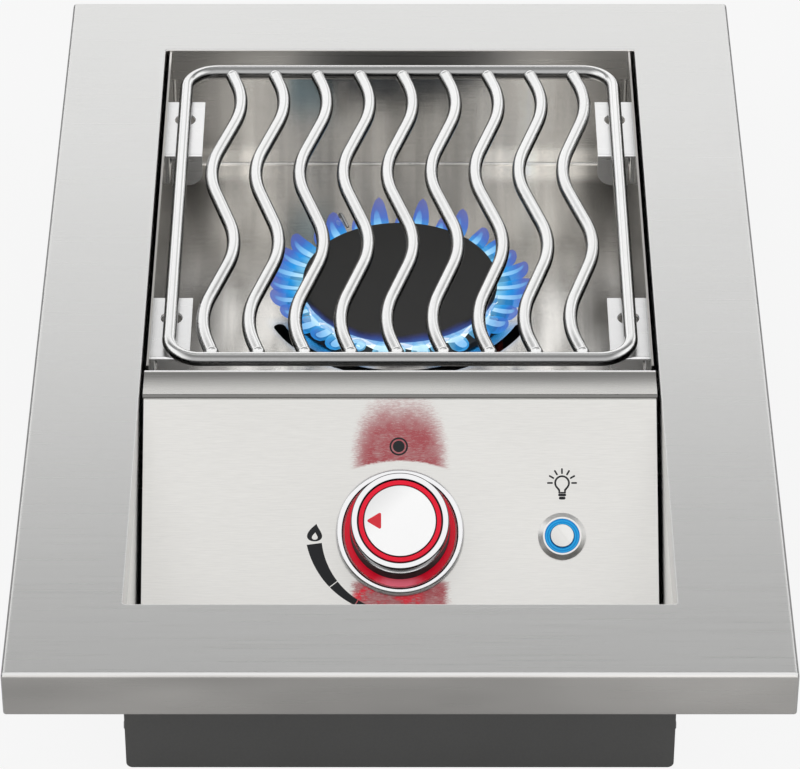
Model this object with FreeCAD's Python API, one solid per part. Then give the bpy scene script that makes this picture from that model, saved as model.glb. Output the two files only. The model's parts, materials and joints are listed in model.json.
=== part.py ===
# Built-in side burner: a drop-in gas burner with a grate, a sloping control panel and a lit knob.
# Millimetres. X points right, Y to the back and Z up. The origin is the middle of the
# bounding box, on the underside of the casing.
import FreeCAD, Part
import math
import os

V = FreeCAD.Vector
AXIS_X = V(1, 0, 0)
AXIS_Y = V(0, 1, 0)
AXIS_Z = V(0, 0, 1)

# Overall size
trim_width = 356.0
trim_depth = 554.5
total_height = 99.0

# Trim frame
trim_sheet = 0.9
trim_bend = 2.2
trim_corner = 1.5
lip_height = 24.0
lip_return = 10.0
side_border = 52.3
front_border = 49.0
back_border = 47.0
opening_fold = 19.0
opening_bend = 0.9
opening_corner = 1.2

# Casing
casing_sheet = 0.6
casing_bend = 1.8
casing_corner = 3.0
casing_flange = 12.0
end_flange = 15.0
end_flange_margin = 5.0
casing_rivet_shares = (0.2, 0.48, 0.76)
vent_length = 30.0
vent_width = 5.0
vent_pitch = 14.0
vent_count = 9
vent_row_offset = 88.0
wall_screw_radius = 2.75
wall_screw_spacing = 300.0
wall_screw_height = 6.0
cheek_bottom = 14.0

# Burner tray
tray_sheet = 0.8
tray_bend = 1.5
tray_side_gap = 3.3
floor_height = 24.0
rim_drop = 1.0
hem_height = 6.0
hem_thickness = 1.3
hem_round_share = 0.48
tray_front_flange = 12.0
tray_back_top_drop = 15.0
sheet_gap = 0.1
rail_width = 16.0
rail_height = 13.0
rail_end_gap = 20.0
slot_outer_radius = 72.0
slot_width = 6.0
slot_start = 205.0
slot_end = 335.0

# Crosspiece and control panel
crosspiece_back = 226.5
crosspiece_width = 21.3
crosspiece_drop = 1.5
crosspiece_side_gap = 1.5
crosspiece_lip = 14.0
crosspiece_bend = 0.6
panel_sheet = 1.0
panel_tilt = 40.0
recess_floor_height = 7.12
panel_drop = 0.6
panel_side_gap = 2.1
panel_flange = 12.0
panel_bend = 0.4
panel_side_return = 10.0
panel_return_margin = 6.0
recess_lip = 12.0
knob_up_slope = 74.2
button_up_slope = 72.3
button_side_gap = 46.0
panel_screw_side_gap = 53.6
panel_screw_row = 0.6
recess_screw_side_gap = 23.6
recess_screw_inset = 23.0

# Grate
rod_radius = 3.5
grate_side_gap = 8.9
grate_front = 239.3
grate_back = 493.9
grate_corner = 16.0
grate_drop = 5.0
wave_rods = 9
wave_amplitude = 6.6
waves_per_rod = 2
wave_bend_radius = 66.0
weld_bead = 0.1
rod_end_setback = 5.0

# Grate brackets
bracket_sheet = 1.5
bracket_width = 19.0
bracket_length = 49.7
bracket_flange = 19.0
bracket_corner = 8.0
bracket_notch = 1.5
bracket_gap = 0.3
bracket_hole_radius = 5.5
bracket_hole_back = 33.0
bracket_small_radius = 2.1
bracket_small_back = 17.5
bracket_hole_inset = 9.0
bracket_round_share = 0.8
bracket_rivet_shares = (0.25, 0.75)
bracket_rivet_row = 0.6
front_bracket = 245.1
back_bracket = 420.5
rivet_radius = 1.6
rivet_head_radius = 2.8
rivet_head = 0.9
rivet_head_taper = 0.6
rivet_tail_share = 0.9
rivet_tail_taper = 0.5

# Burner
burner_from_front = 388.0
base_flange_radius = 60.0
base_flange = 2.5
bowl_radius = 45.0
bowl_wall = 2.0
bowl_corner = 4.0
bowl_floor_gap = 1.4
bowl_clearance = 1.2
ring_radius = 48.0
ring_bore = 41.0
ring_height = 3.9
port_count = 36
port_radius = 0.9
port_drop = 1.8
cap_radius = 51.0
cap_thickness = 4.1
cap_round = 1.6
cap_spigot_radius = 40.5
cap_spigot_wall = 3.0
cap_spigot_depth = 2.0
cap_gap = 0.1
burner_screw_circle = 55.5
burner_screw_angles = (90.0, 210.0, 330.0)

# Mixer tube, air shutter and orifice, all on one level axis
mixer_clearance = 0.5
mixer_wall = 1.0
mixer_throat_radius = 7.5
neck_start = 34.0
neck_length = 16.0
neck_funnel = 8.0
neck_flare = 25.0
mixer_insert = 12.0
mixer_end_gap = 2.0
boss_wall = 1.15
fit_gap = 0.05
shutter_gap = 0.3
shutter_wall = 1.0
shutter_length = 20.0
shutter_start = 1.0
shutter_tab_half = 1.0
shutter_tab_reach = 4.0
shutter_tab_length = 6.0
window_start = 3.0
window_length = 14.0
window_angle = 50.0
orifice_hex = 11.0
orifice_length = 4.0
orifice_tip_radius = 4.2
orifice_hole_radius = 0.6
orifice_spigot = 6.0
orifice_tip = 5.0
orifice_tip_taper = 1.2
orifice_feed_radius = 1.5
orifice_feed_reach = 3.0

# Valve, measured from the face of the control panel, inwards
stem_radius = 4.0
stem_flat = 3.0
stem_top = 21.5
stem_hole_radius = 8.0
collar_radius = 6.4
collar_thickness = 2.0
washer_radius = 6.8
washer_thickness = 1.0
part_gap = 0.3
bonnet_roof = 2.0
bonnet_depth = 16.0
bonnet_radius = 10.0
bonnet_cavity_radius = 7.2
bonnet_floor = 1.2
ear_half_length = 20.0
ear_half_width = 7.0
ear_thickness = 2.5
ear_round_share = 0.9
body_radius = 12.0
body_length = 29.0
body_chamfer = 1.5
rotor_drop = 1.2
rotor_top_radius = 6.0
rotor_bottom_radius = 5.0
rotor_length = 22.6
tongue_width = 6.6
tongue_thickness = 2.4
tongue_engaged = 5.0
slot_clearance = 0.1
slot_depth = 9.0
gas_bore = 2.0
inlet_depth = 30.0
inlet_boss_radius = 7.0
inlet_boss_reach = 21.0
elbow_radius = 6.3
elbow_bore = 3.0
elbow_bend = 12.0
elbow_run = 30.5
spring_wire = 0.45
stem_spring_radius = 5.2
stem_spring_turns = 4.5
press_travel = 3.0

# Gas supply line
gas_tube_radius = 4.0
gas_tube_wall = 1.0
gas_tube_bend = 22.0
gas_line_side_gap = 27.2
nut_hex = 16.0
nut_length = 10.0
inlet_thread_radius = 7.94
inlet_thread_length = 14.0
inlet_shank_radius = 7.6
inlet_shoulder_radius = 10.0
inlet_shoulder = 3.0
inlet_hex = 17.0
inlet_hex_length = 8.0
inlet_cone = 3.0
lock_nut_hex = 20.0
lock_nut_length = 5.0

# Knob and bezel, measured from the face of the control panel, outwards
bezel_radius = 30.75
bezel_bore = 26.9
bezel_floor = 0.8
bezel_height = 3.4
bezel_hole = 9.0
bezel_outer_round = 1.9
bezel_inner_round = 1.2
light_ring_inner = 19.2
light_ring_gap = 0.3
lamp_board = 1.0
light_ring = 1.0
valve_screw_across = 15.0
knob_base = 8.0
knob_base_radius = 24.0
knob_split = 21.5
knob_split_radius = 23.5
knob_top = 31.0
knob_top_radius = 23.2
knob_wall = 1.8
skirt_wall = 2.2
knob_edge = 0.9
knob_recess_radius = 20.0
knob_recess = 2.5
knob_plate = 1.6
knob_ring_radius = 19.5
knob_ring_inner = 17.5
knob_ring_drop = 0.3
knob_disc_radius = 17.15
knob_disc_round = 0.5
hub_radius = 7.0
hub_top = 25.5

# Light button
button_bezel_radius = 11.45
button_bezel_edge = 0.8
button_height = 2.4
button_lip_radius = 9.2
button_recess_radius = 8.4
button_recess = 1.4
button_cap_radius = 5.6
button_bore_gap = 0.2
button_cap_top = 3.1
button_cap_thickness = 3.6
button_edge_round = 0.4
button_plunger_radius = 2.0
button_plunger = 7.0
button_bore_depth = 12.0
button_barrel_radius = 9.5
button_barrel = 24.0
button_nut_hex = 22.0
button_nut = 4.0
button_spring_radius = 3.4
button_spring_turns = 5
terminal_radius = 1.0
terminal_length = 6.0
terminal_offset = 4.0

# Igniter and electrics
igniter_angle = 120.0
igniter_circle = 64.5
insulator_radius = 3.0
insulator_rise = 10.0
insulator_hang = 13.2
insulator_collar_radius = 4.5
insulator_collar = 2.0
electrode_radius = 0.8
electrode_rise = 4.0
electrode_tip_circle = 55.5
electrode_tip_drop = 5.0
electrode_bend = 1.8
boot_radius = 3.2
boot_length = 7.0
lead_radius = 2.0
lead_bend = 22.0
lead_from_bowl = 7.0
lead_detour = 32.0
cable_radius = 2.0
cable_bend = 11.0
lamp_cable_drop = 32.0
lamp_cable_shift = 4.0
lamp_cable_angle = -35.0
module_width = 72.0
module_length = 32.0
module_side_gap = 15.2
module_back_gap = 7.0
module_floor_gap = 0.4
module_height = 26.0
module_round = 2.0
socket_side_gap = 32.2
socket_radius = 6.0
socket_depth = 10.0
socket_flange_radius = 8.0
socket_flange = 2.0
socket_bore = 2.8
socket_bore_depth = 9.0
socket_pin = 1.0

# Screws
screw_radius = 2.0
screw_head_radius = 3.5
screw_head = 2.2
screw_round = 1.0
screw_clearance = 0.1
screw_tip = 2.0

# Places worked out from the sizes above
trim_half = trim_width / 2
trim_front = -trim_depth / 2
opening_half = trim_half - side_border
opening_front = trim_front + front_border
opening_back = -trim_front - back_border
trim_underside = total_height - trim_sheet
casing_half = opening_half + trim_sheet + casing_sheet
casing_front = opening_front - trim_sheet
casing_back = opening_back + trim_sheet + tray_sheet + 2 * sheet_gap
casing_top = trim_underside - casing_sheet
tray_half = opening_half - tray_side_gap
tray_outer = tray_half + tray_sheet
tray_front = trim_front + crosspiece_back
tray_back = opening_back + trim_sheet + sheet_gap
floor_top = floor_height
floor_under = floor_top - tray_sheet
rim_top = total_height - rim_drop
crosspiece_top = total_height - crosspiece_drop
crosspiece_front = tray_front - crosspiece_width
panel_top = total_height - panel_drop
panel_half = opening_half - panel_side_gap
tilt = math.radians(panel_tilt)
panel_foot_z = recess_floor_height
panel_slope = (panel_top - panel_foot_z) / math.sin(tilt)
panel_foot_y = crosspiece_front - panel_slope * math.cos(tilt)
knob_down_slope = panel_slope - knob_up_slope
button_down_slope = panel_slope - button_up_slope
button_across = panel_half - button_side_gap
panel_screw_across = panel_half - panel_screw_side_gap
recess_screw_across = panel_half - recess_screw_side_gap
recess_front = casing_front + panel_sheet
grate_z = total_height - grate_drop
grate_half_width = tray_half - grate_side_gap
wave_pitch = 2 * grate_half_width / (wave_rods + 1)
grate_front_y = trim_front + grate_front
grate_back_y = trim_front + grate_back
grate_length = grate_back_y - grate_front_y
bracket_top = grate_z - rod_radius - bracket_gap
burner_y = trim_front + burner_from_front
base_top = floor_top + base_flange
ring_top = base_top + ring_height
cap_bottom = ring_top + cap_gap
mixer_end = burner_y - bowl_radius - mixer_end_gap
bonnet_bottom = panel_sheet + bonnet_depth
body_bottom = bonnet_bottom + body_length
under_tray_middle = (floor_under + casing_sheet) / 2
mixer_height = under_tray_middle
mixer_radius = (floor_under - casing_sheet) / 2 - mixer_clearance - shutter_wall - shutter_gap
valve_end_y = crosspiece_front - knob_down_slope * math.cos(tilt) + body_bottom * math.sin(tilt)
mixer_start = valve_end_y + elbow_run
cavity_bottom = bonnet_bottom - bonnet_floor
collar_top = panel_sheet + bonnet_roof + part_gap
washer_top = collar_top + collar_thickness + part_gap
rotor_top = bonnet_bottom + rotor_drop
spring_top = washer_top + washer_thickness + part_gap
back_fitting_height = under_tray_middle
gas_line_across = -(casing_half - gas_line_side_gap)
socket_across = casing_half - socket_side_gap
module_right = casing_half - module_side_gap
module_left = module_right - module_width
module_back = tray_front - module_back_gap
module_front = module_back - module_length
module_bottom = casing_sheet + module_floor_gap
insulator_top = floor_top + insulator_rise
insulator_bottom = floor_under - insulator_hang
boot_bottom = insulator_bottom - boot_length
electrode_top = insulator_top + electrode_rise
electrode_tip_height = electrode_top - electrode_tip_drop
igniter_x = igniter_circle * math.cos(math.radians(igniter_angle))
igniter_y = burner_y + igniter_circle * math.sin(math.radians(igniter_angle))
bracket_wall = tray_half
panel_place = FreeCAD.Placement(V(0, crosspiece_front, panel_top), FreeCAD.Rotation(AXIS_X, panel_tilt))


# Helpers for solids

def block(x0, x1, y0, y1, z0, z1):
    return Part.makeBox(x1 - x0, y1 - y0, z1 - z0, V(x0, y0, z0))


def rod(start, end, radius):
    along = end - start
    return Part.makeCylinder(radius, along.Length, start, along)


def revolved(profile, centre=V(0, 0, 0)):
    """Turns a closed outline of (radius, height) points about an upright axis."""
    points = [V(r, 0, z) for r, z in profile]
    face = Part.Face(Part.makePolygon(points + [points[0]]))
    solid = face.revolve(V(0, 0, 0), AXIS_Z, 360)
    solid.translate(centre)
    return solid


def washer_shape(outer, inner, z0, z1):
    return revolved([(inner, z0), (outer, z0), (outer, z1), (inner, z1)])


def hexagon(across_flats, start, end, turn=0.0):
    """A hexagonal bar between two points, its flats square to X when turn is zero."""
    corner = across_flats / 2 / math.cos(math.radians(30))
    along = end - start
    points = []
    for step in range(7):
        angle = math.radians(60 * step + 30 + turn)
        points.append(V(corner * math.cos(angle), corner * math.sin(angle), 0))
    bar = Part.Face(Part.makePolygon(points)).extrude(AXIS_Z * along.Length)
    bar.Placement = FreeCAD.Placement(start, FreeCAD.Rotation(AXIS_Z, along))
    return bar


def edges_where(shape, test):
    return [edge for edge in shape.Edges if test(edge)]


def at_height(edge, z, slack=1e-4):
    return all(abs(vertex.Z - z) < slack for vertex in edge.Vertexes)


def is_upright(edge):
    ends = edge.Vertexes
    if len(ends) != 2:
        return False
    return abs(ends[0].X - ends[1].X) < 1e-4 and abs(ends[0].Y - ends[1].Y) < 1e-4


def round_edge(shape, point, along, radius):
    """Rounds the straight edge that lies along a line through the point."""
    direction = V(along).normalize()

    def lies_on_line(edge):
        if edge.Length < along.Length / 2:
            return False
        return all(((vertex.Point - point).cross(direction)).Length < 1e-3 for vertex in edge.Vertexes)

    return shape.makeFillet(radius, edges_where(shape, lies_on_line))


def turn_between(before, corner, after):
    first = (corner[0] - before[0], corner[1] - before[1])
    second = (after[0] - corner[0], after[1] - corner[1])
    return first[0] * second[1] - first[1] * second[0]


def offset_path(points, distance):
    """The line at a distance to the left of an open path, with sharp corners."""
    normals = []
    for (a0, b0), (a1, b1) in zip(points, points[1:]):
        length = math.hypot(a1 - a0, b1 - b0)
        normals.append((-(b1 - b0) / length, (a1 - a0) / length))
    moved = []
    for index, (a, b) in enumerate(points):
        before = normals[max(index - 1, 0)]
        after = normals[min(index, len(normals) - 1)]
        share = 1 + before[0] * after[0] + before[1] * after[1]
        moved.append((a + distance * (before[0] + after[0]) / share,
                      b + distance * (before[1] + after[1]) / share))
    return moved


def folded_sheet(points, sheet, bend, to_space, along):
    """A bent sheet: its outline follows the points, its thickness lies to their left."""
    inner = offset_path(points, sheet)
    outline = [to_space(a, b) for a, b in points + inner[::-1]]
    solid = Part.Face(Part.makePolygon(outline + [outline[0]])).extrude(along)
    for index in range(1, len(points) - 1):
        left_turn = turn_between(*points[index - 1:index + 2]) > 0
        path_radius = bend + sheet if left_turn else bend
        inner_radius = bend if left_turn else bend + sheet
        solid = round_edge(solid, to_space(*points[index]), along, path_radius)
        solid = round_edge(solid, to_space(*inner[index]), along, inner_radius)
    return solid


def rounded_wire(points, radius):
    """Straight runs between the points, joined by tangent arcs of one radius."""
    edges = []
    start = points[0]
    for before, corner, after in zip(points, points[1:], points[2:]):
        into = (corner - before).normalize()
        out = (after - corner).normalize()
        half_turn = into.getAngle(out) / 2
        cut = radius * math.tan(half_turn)
        arc_start = corner - into * cut
        arc_end = corner + out * cut
        inwards = (out - into).normalize()
        centre = corner + inwards * (radius / math.cos(half_turn))
        middle = centre - inwards * radius
        edges.append(Part.LineSegment(start, arc_start).toShape())
        edges.append(Part.Arc(arc_start, middle, arc_end).toShape())
        start = arc_end
    edges.append(Part.LineSegment(start, points[-1]).toShape())
    return Part.Wire(edges)


def swept(wire, radius):
    first = wire.OrderedEdges[0]
    circle = Part.Circle(first.valueAt(first.FirstParameter), first.tangentAt(first.FirstParameter), radius)
    section = Part.Wire([circle.toShape()])
    return wire.makePipeShell([section], True, False)


def tube(wire, outer, inner):
    return swept(wire, outer).cut(swept(wire, inner))


def coil(radius, wire, z0, z1, turns):
    """A helical spring about the upright axis."""
    height = z1 - z0 - 2 * wire
    helix = Part.Wire(Part.makeHelix(height / turns, height, radius).Edges)
    helix.translate(V(0, 0, z0 + wire))
    first = helix.Edges[0]
    start = first.valueAt(first.FirstParameter)
    section = Part.Wire([Part.Circle(start, first.tangentAt(first.FirstParameter), wire).toShape()])
    return helix.makePipeShell([section], True, True)


def on_panel(shape, across=0.0, down_slope=0.0):
    """Moves a solid made about the upright axis to a place on the sloping panel."""
    moved = shape.copy()
    moved.translate(V(across, -down_slope, 0))
    moved.Placement = panel_place.multiply(moved.Placement)
    return moved


def panel_point(across, down_slope, out):
    return panel_place.multVec(V(across, -down_slope, out))


def cut_all(shape, tools):
    return shape.cut(Part.makeCompound(tools)) if tools else shape


def mirrored(shape):
    return shape.mirror(V(0, 0, 0), AXIS_X)


# Where the fasteners sit, shared by the fasteners and by the holes for them

def rivet_points_of_brackets():
    """Rivets through the side flange of each bracket, on the tray's wall."""
    height = bracket_top - bracket_flange * bracket_rivet_row
    points = []
    for start in (front_bracket, back_bracket):
        for share in bracket_rivet_shares:
            points.append(V(bracket_wall, trim_front + start + bracket_length * share, height))
    return points


def rivet_points_of_casing():
    """Rivets through the side flanges of the casing's end panels."""
    points = []
    for y in (casing_front + end_flange / 2, casing_back - end_flange / 2):
        for share in casing_rivet_shares:
            points.append(V(casing_half, y, casing_top * share))
    return points


def wall_hole(point, radius, depth=6.0):
    return rod(point - AXIS_X * depth, point + AXIS_X * depth, radius)


def wall_holes(points, radius):
    holes = [wall_hole(point, radius) for point in points]
    return holes + [mirrored(hole) for hole in holes]


def burner_screw_points(z):
    points = []
    for angle in burner_screw_angles:
        turned = math.radians(angle)
        points.append(V(burner_screw_circle * math.cos(turned),
                        burner_y + burner_screw_circle * math.sin(turned), z))
    return points


def recess_screw_points(z):
    y = recess_front + recess_screw_inset
    return [V(side * recess_screw_across, y, z) for side in (-1, 1)]


def panel_screw_points(y):
    height = crosspiece_top - crosspiece_lip * panel_screw_row
    return [V(side * panel_screw_across, y, height) for side in (-1, 1)]


# Trim and casing

def rounded_block(half_width, half_depth, z0, z1, corner, top, bottom):
    solid = block(-half_width, half_width, -half_depth, half_depth, z0, z1)
    solid = solid.makeFillet(corner, edges_where(solid, is_upright))
    solid = solid.makeFillet(top, edges_where(solid, lambda edge: at_height(edge, z1)))
    return solid.makeFillet(bottom, edges_where(solid, lambda edge: at_height(edge, z0)))


def make_trim_frame():
    lip_bottom = total_height - lip_height
    outer = rounded_block(trim_half, -trim_front, lip_bottom, total_height,
                          trim_corner, trim_bend, trim_sheet + 0.2)
    inner = rounded_block(trim_half - trim_sheet, -trim_front - trim_sheet, lip_bottom + trim_sheet,
                          trim_underside, trim_corner - trim_sheet, trim_bend - trim_sheet, 0.2)
    frame = outer.cut(inner)
    frame = frame.cut(block(-trim_half + lip_return, trim_half - lip_return,
                            trim_front + lip_return, -trim_front - lip_return,
                            lip_bottom, lip_bottom + trim_sheet))
    collar = block(-opening_half - trim_sheet, opening_half + trim_sheet,
                   opening_front - trim_sheet, opening_back + trim_sheet,
                   total_height - opening_fold, trim_underside)
    opening = block(-opening_half, opening_half, opening_front, opening_back,
                    total_height - opening_fold, total_height)
    opening = opening.makeFillet(opening_corner, edges_where(opening, is_upright))
    frame = frame.fuse(collar).cut(opening)

    def is_opening_edge(edge):
        box = edge.BoundBox
        inside = max(abs(box.XMin), abs(box.XMax)) < opening_half + 0.01
        return inside and at_height(edge, total_height)

    return frame.makeFillet(opening_bend, edges_where(frame, is_opening_edge)).removeSplitter()


def vent_slot(x, y):
    half = (vent_length - vent_width) / 2
    ends = [rod(V(end, y, -1), V(end, y, 1), vent_width / 2) for end in (x - half, x + half)]
    middle = block(x - half, x + half, y - vent_width / 2, y + vent_width / 2, -1, 1)
    return middle.fuse(ends)


def make_casing_wrap():
    path = [(-casing_half - casing_flange, casing_top), (-casing_half, casing_top), (-casing_half, 0),
            (casing_half, 0), (casing_half, casing_top), (casing_half + casing_flange, casing_top)]
    wrap = folded_sheet(path, casing_sheet, casing_bend, lambda a, b: V(a, casing_front, b),
                        V(0, casing_back - casing_front, 0))
    cuts = wall_holes(rivet_points_of_casing(), rivet_radius + screw_clearance)
    fixing = [V(casing_half, side * wall_screw_spacing / 2, wall_screw_height) for side in (-1, 1)]
    cuts += wall_holes(fixing, wall_screw_radius)
    for point in recess_screw_points(0):
        cuts.append(rod(point - AXIS_Z, point + AXIS_Z, screw_radius + screw_clearance))
    for row in (-1, 1):
        for index in range(vent_count):
            y = burner_y + (index - (vent_count - 1) / 2) * vent_pitch
            cuts.append(vent_slot(row * vent_row_offset, y))
    return cut_all(wrap, cuts)


def make_end_panel(inner_y, outwards):
    """An end wall of the casing: a plate, two flanges round the wrap and one under the trim."""
    half = casing_half + casing_sheet
    y0, y1 = sorted((inner_y, inner_y + outwards * casing_sheet))
    plate = block(-half, half, y0, y1, 0, trim_underside)
    lower = edges_where(plate, lambda edge: at_height(edge, 0) and edge.BoundBox.XLength < 1e-4)
    plate = plate.makeFillet(casing_corner, lower)
    y2, y3 = sorted((inner_y, inner_y - outwards * end_flange))
    side = block(casing_half, half, y2, y3, casing_corner, casing_top - end_flange_margin)
    y4, y5 = sorted((inner_y, inner_y + outwards * casing_flange))
    top = block(-half, half, y4, y5, casing_top, trim_underside)
    panel = plate.fuse([side, mirrored(side), top])
    rivet_holes = wall_holes(rivet_points_of_casing(), rivet_radius + screw_clearance)
    return cut_all(panel, rivet_holes).removeSplitter()


def make_casing_back_panel():
    panel = make_end_panel(casing_back, 1)
    holes = [back_wall_hole(gas_line_across, back_fitting_height, inlet_shank_radius + fit_gap),
             back_wall_hole(socket_across, back_fitting_height, socket_radius + fit_gap)]
    return cut_all(panel, holes)


def back_wall_hole(x, z, radius):
    return rod(V(x, casing_back - 1, z), V(x, casing_back + casing_sheet + 1, z), radius)


def make_panel_cheeks():
    """Stainless walls that carry on the trim's fold beside the control panel."""
    right = block(opening_half, opening_half + trim_sheet, casing_front, tray_front,
                  cheek_bottom, total_height - opening_fold)
    pair = Part.makeCompound([right, mirrored(right)])
    return cut_all(pair, wall_holes(rivet_points_of_casing(), rivet_radius + screw_clearance))


# Burner tray with its rails and brackets

def make_tray_rails():
    outer = casing_half - casing_sheet
    path = [(outer - rail_width, floor_under), (outer, floor_under), (outer, floor_under - rail_height)]
    right = folded_sheet([(a, b) for a, b in path[::-1]], tray_sheet, tray_sheet,
                         lambda a, b: V(a, tray_front + rail_end_gap, b),
                         V(0, tray_back - tray_front - 2 * rail_end_gap, 0))
    return Part.makeCompound([right, mirrored(right)])


def arc_slot():
    """The curved air slot in the tray's floor, in front of the burner."""
    z0, z1 = floor_under - 1, floor_top + 1
    inner = slot_outer_radius - slot_width
    middle = slot_outer_radius - slot_width / 2
    ring = washer_shape(slot_outer_radius, inner, z0, z1)
    corners = [V(0, 0, z0)]
    far = 2 * slot_outer_radius
    for share in range(5):
        angle = math.radians(slot_start + (slot_end - slot_start) * share / 4)
        corners.append(V(far * math.cos(angle), far * math.sin(angle), z0))
    sector = Part.Face(Part.makePolygon(corners + [corners[0]])).extrude(V(0, 0, z1 - z0))
    slot = ring.common(sector)
    for end in (slot_start, slot_end):
        angle = math.radians(end)
        foot = V(middle * math.cos(angle), middle * math.sin(angle), z0)
        slot = slot.fuse(rod(foot, foot + V(0, 0, z1 - z0), slot_width / 2))
    slot.translate(V(0, burner_y, 0))
    return slot


def make_burner_tray():
    outer = block(-tray_outer, tray_outer, tray_front, tray_back + tray_sheet, floor_under, rim_top)
    inner = block(-tray_half, tray_half, tray_front + tray_sheet, tray_back, floor_top, rim_top + 1)

    def is_bottom(level):
        return lambda edge: at_height(edge, level)

    outer = outer.makeFillet(tray_bend + tray_sheet, edges_where(outer, is_upright))
    outer = outer.makeFillet(tray_bend + tray_sheet, edges_where(outer, is_bottom(floor_under)))
    inner = inner.makeFillet(tray_bend, edges_where(inner, is_upright))
    inner = inner.makeFillet(tray_bend, edges_where(inner, is_bottom(floor_top)))
    tray = outer.cut(inner)
    front_top = floor_top + tray_front_flange
    back_top = total_height - tray_back_top_drop
    wall_end = opening_back - sheet_gap
    low_back = total_height - opening_fold - sheet_gap
    cuts = [block(-tray_half, tray_half, tray_front - 1, tray_front + 2, front_top, rim_top + 1),
            block(-tray_outer - 1, tray_outer + 1, tray_front - 1, tray_front + tray_bend + tray_sheet,
                  front_top, rim_top + 1),
            block(-tray_outer - 1, tray_outer + 1, tray_back, tray_back + 2, back_top, rim_top + 1),
            block(-tray_outer - 1, tray_outer + 1, wall_end, tray_back, low_back, rim_top + 1)]
    tray = cut_all(tray, cuts)
    hem = block(tray_half, tray_half + hem_thickness, tray_front + tray_bend + tray_sheet, wall_end,
                rim_top - hem_height, rim_top)
    long_top = edges_where(hem, lambda edge: at_height(edge, rim_top) and edge.BoundBox.YLength > 10)
    hem = hem.makeFillet(hem_thickness * hem_round_share, long_top)
    tray = tray.fuse([hem, mirrored(hem)])
    hole_wall = V(0, burner_y, floor_under - 1)
    holes = [rod(hole_wall, hole_wall + V(0, 0, 4), bowl_radius + bowl_clearance), arc_slot()]
    for point in burner_screw_points(floor_under - 1):
        holes.append(rod(point, point + V(0, 0, 4), screw_radius + screw_clearance))
    insulator = V(igniter_x, igniter_y, floor_under - 1)
    holes.append(rod(insulator, insulator + V(0, 0, 4), insulator_radius + screw_clearance))
    holes += wall_holes(rivet_points_of_brackets(), rivet_radius + screw_clearance)
    return cut_all(tray, holes)


def make_bracket(start, left):
    """A riveted shelf for the grate: a top plate with a front flange and a side flange."""
    y0 = trim_front + start
    y1 = y0 + bracket_length
    inner_x = bracket_wall - bracket_width
    bottom = bracket_top - bracket_flange
    plate = block(inner_x, bracket_wall, y0, y1, bracket_top - bracket_sheet, bracket_top)
    front_end = bracket_wall - bracket_sheet - bracket_notch
    front = block(inner_x, front_end, y0, y0 + bracket_sheet, bottom, bracket_top)
    corner = edges_where(front, lambda edge: edge.BoundBox.YLength > 1 and at_height(edge, bottom)
                         and abs(edge.Vertexes[0].X - inner_x) < 1e-4)
    front = front.makeFillet(bracket_corner, corner)
    side = block(bracket_wall - bracket_sheet, bracket_wall, y0 + bracket_notch, y1, bottom, bracket_top)
    bracket = plate.fuse([front, side])
    bend = bracket_sheet * bracket_round_share
    bracket = round_edge(bracket, V(0, y0, bracket_top), AXIS_X * bracket_width, bend)
    hole_x = bracket_wall - bracket_hole_inset
    cuts = []
    holes = ((bracket_hole_radius, bracket_hole_back), (bracket_small_radius, bracket_small_back))
    for radius, back in holes:
        foot = V(hole_x, y0 + back, bracket_top - bracket_sheet - 1)
        cuts.append(rod(foot, foot + V(0, 0, bracket_sheet + 2), radius))
    for point in rivet_points_of_brackets():
        cuts.append(wall_hole(point, rivet_radius + screw_clearance, bracket_sheet + 1))
    bracket = cut_all(bracket, cuts).removeSplitter()
    return mirrored(bracket) if left else bracket


def rivet(inner_x, outer_x, point):
    """One pop rivet across a wall, with a head on each face."""
    inside = V(inner_x, point.y, point.z)
    outside = V(outer_x, point.y, point.z)
    head_end = rivet_head_radius * rivet_head_taper
    tail_base = rivet_head_radius * rivet_tail_share
    tail_end = rivet_head_radius * rivet_tail_taper
    head = Part.makeCone(rivet_head_radius, head_end, rivet_head, outside, AXIS_X)
    tail = Part.makeCone(tail_base, tail_end, rivet_head, inside, -AXIS_X)
    return rod(inside, outside, rivet_radius).fuse([head, tail])


def make_pop_rivets():
    rivets = [rivet(bracket_wall - bracket_sheet, tray_outer, point) for point in rivet_points_of_brackets()]
    for point in rivet_points_of_casing():
        beside_cheek = point.y < tray_front
        inner_x = opening_half if beside_cheek else casing_half - casing_sheet
        rivets.append(rivet(inner_x, casing_half + casing_sheet, point))
    return Part.makeCompound(rivets + [mirrored(one) for one in rivets])


# Crosspiece and control panel

def make_crosspiece():
    half = opening_half - crosspiece_side_gap
    path = [(tray_front, floor_under), (tray_front, crosspiece_top), (crosspiece_front, crosspiece_top),
            (crosspiece_front, crosspiece_top - crosspiece_lip)]
    piece = folded_sheet(path, tray_sheet, crosspiece_bend, lambda a, b: V(-half, a, b), V(2 * half, 0, 0))
    holes = []
    for point in panel_screw_points(crosspiece_front):
        holes.append(rod(point - AXIS_Y * 2, point + AXIS_Y * 2, screw_radius + screw_clearance))
    return cut_all(piece, holes)


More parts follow.
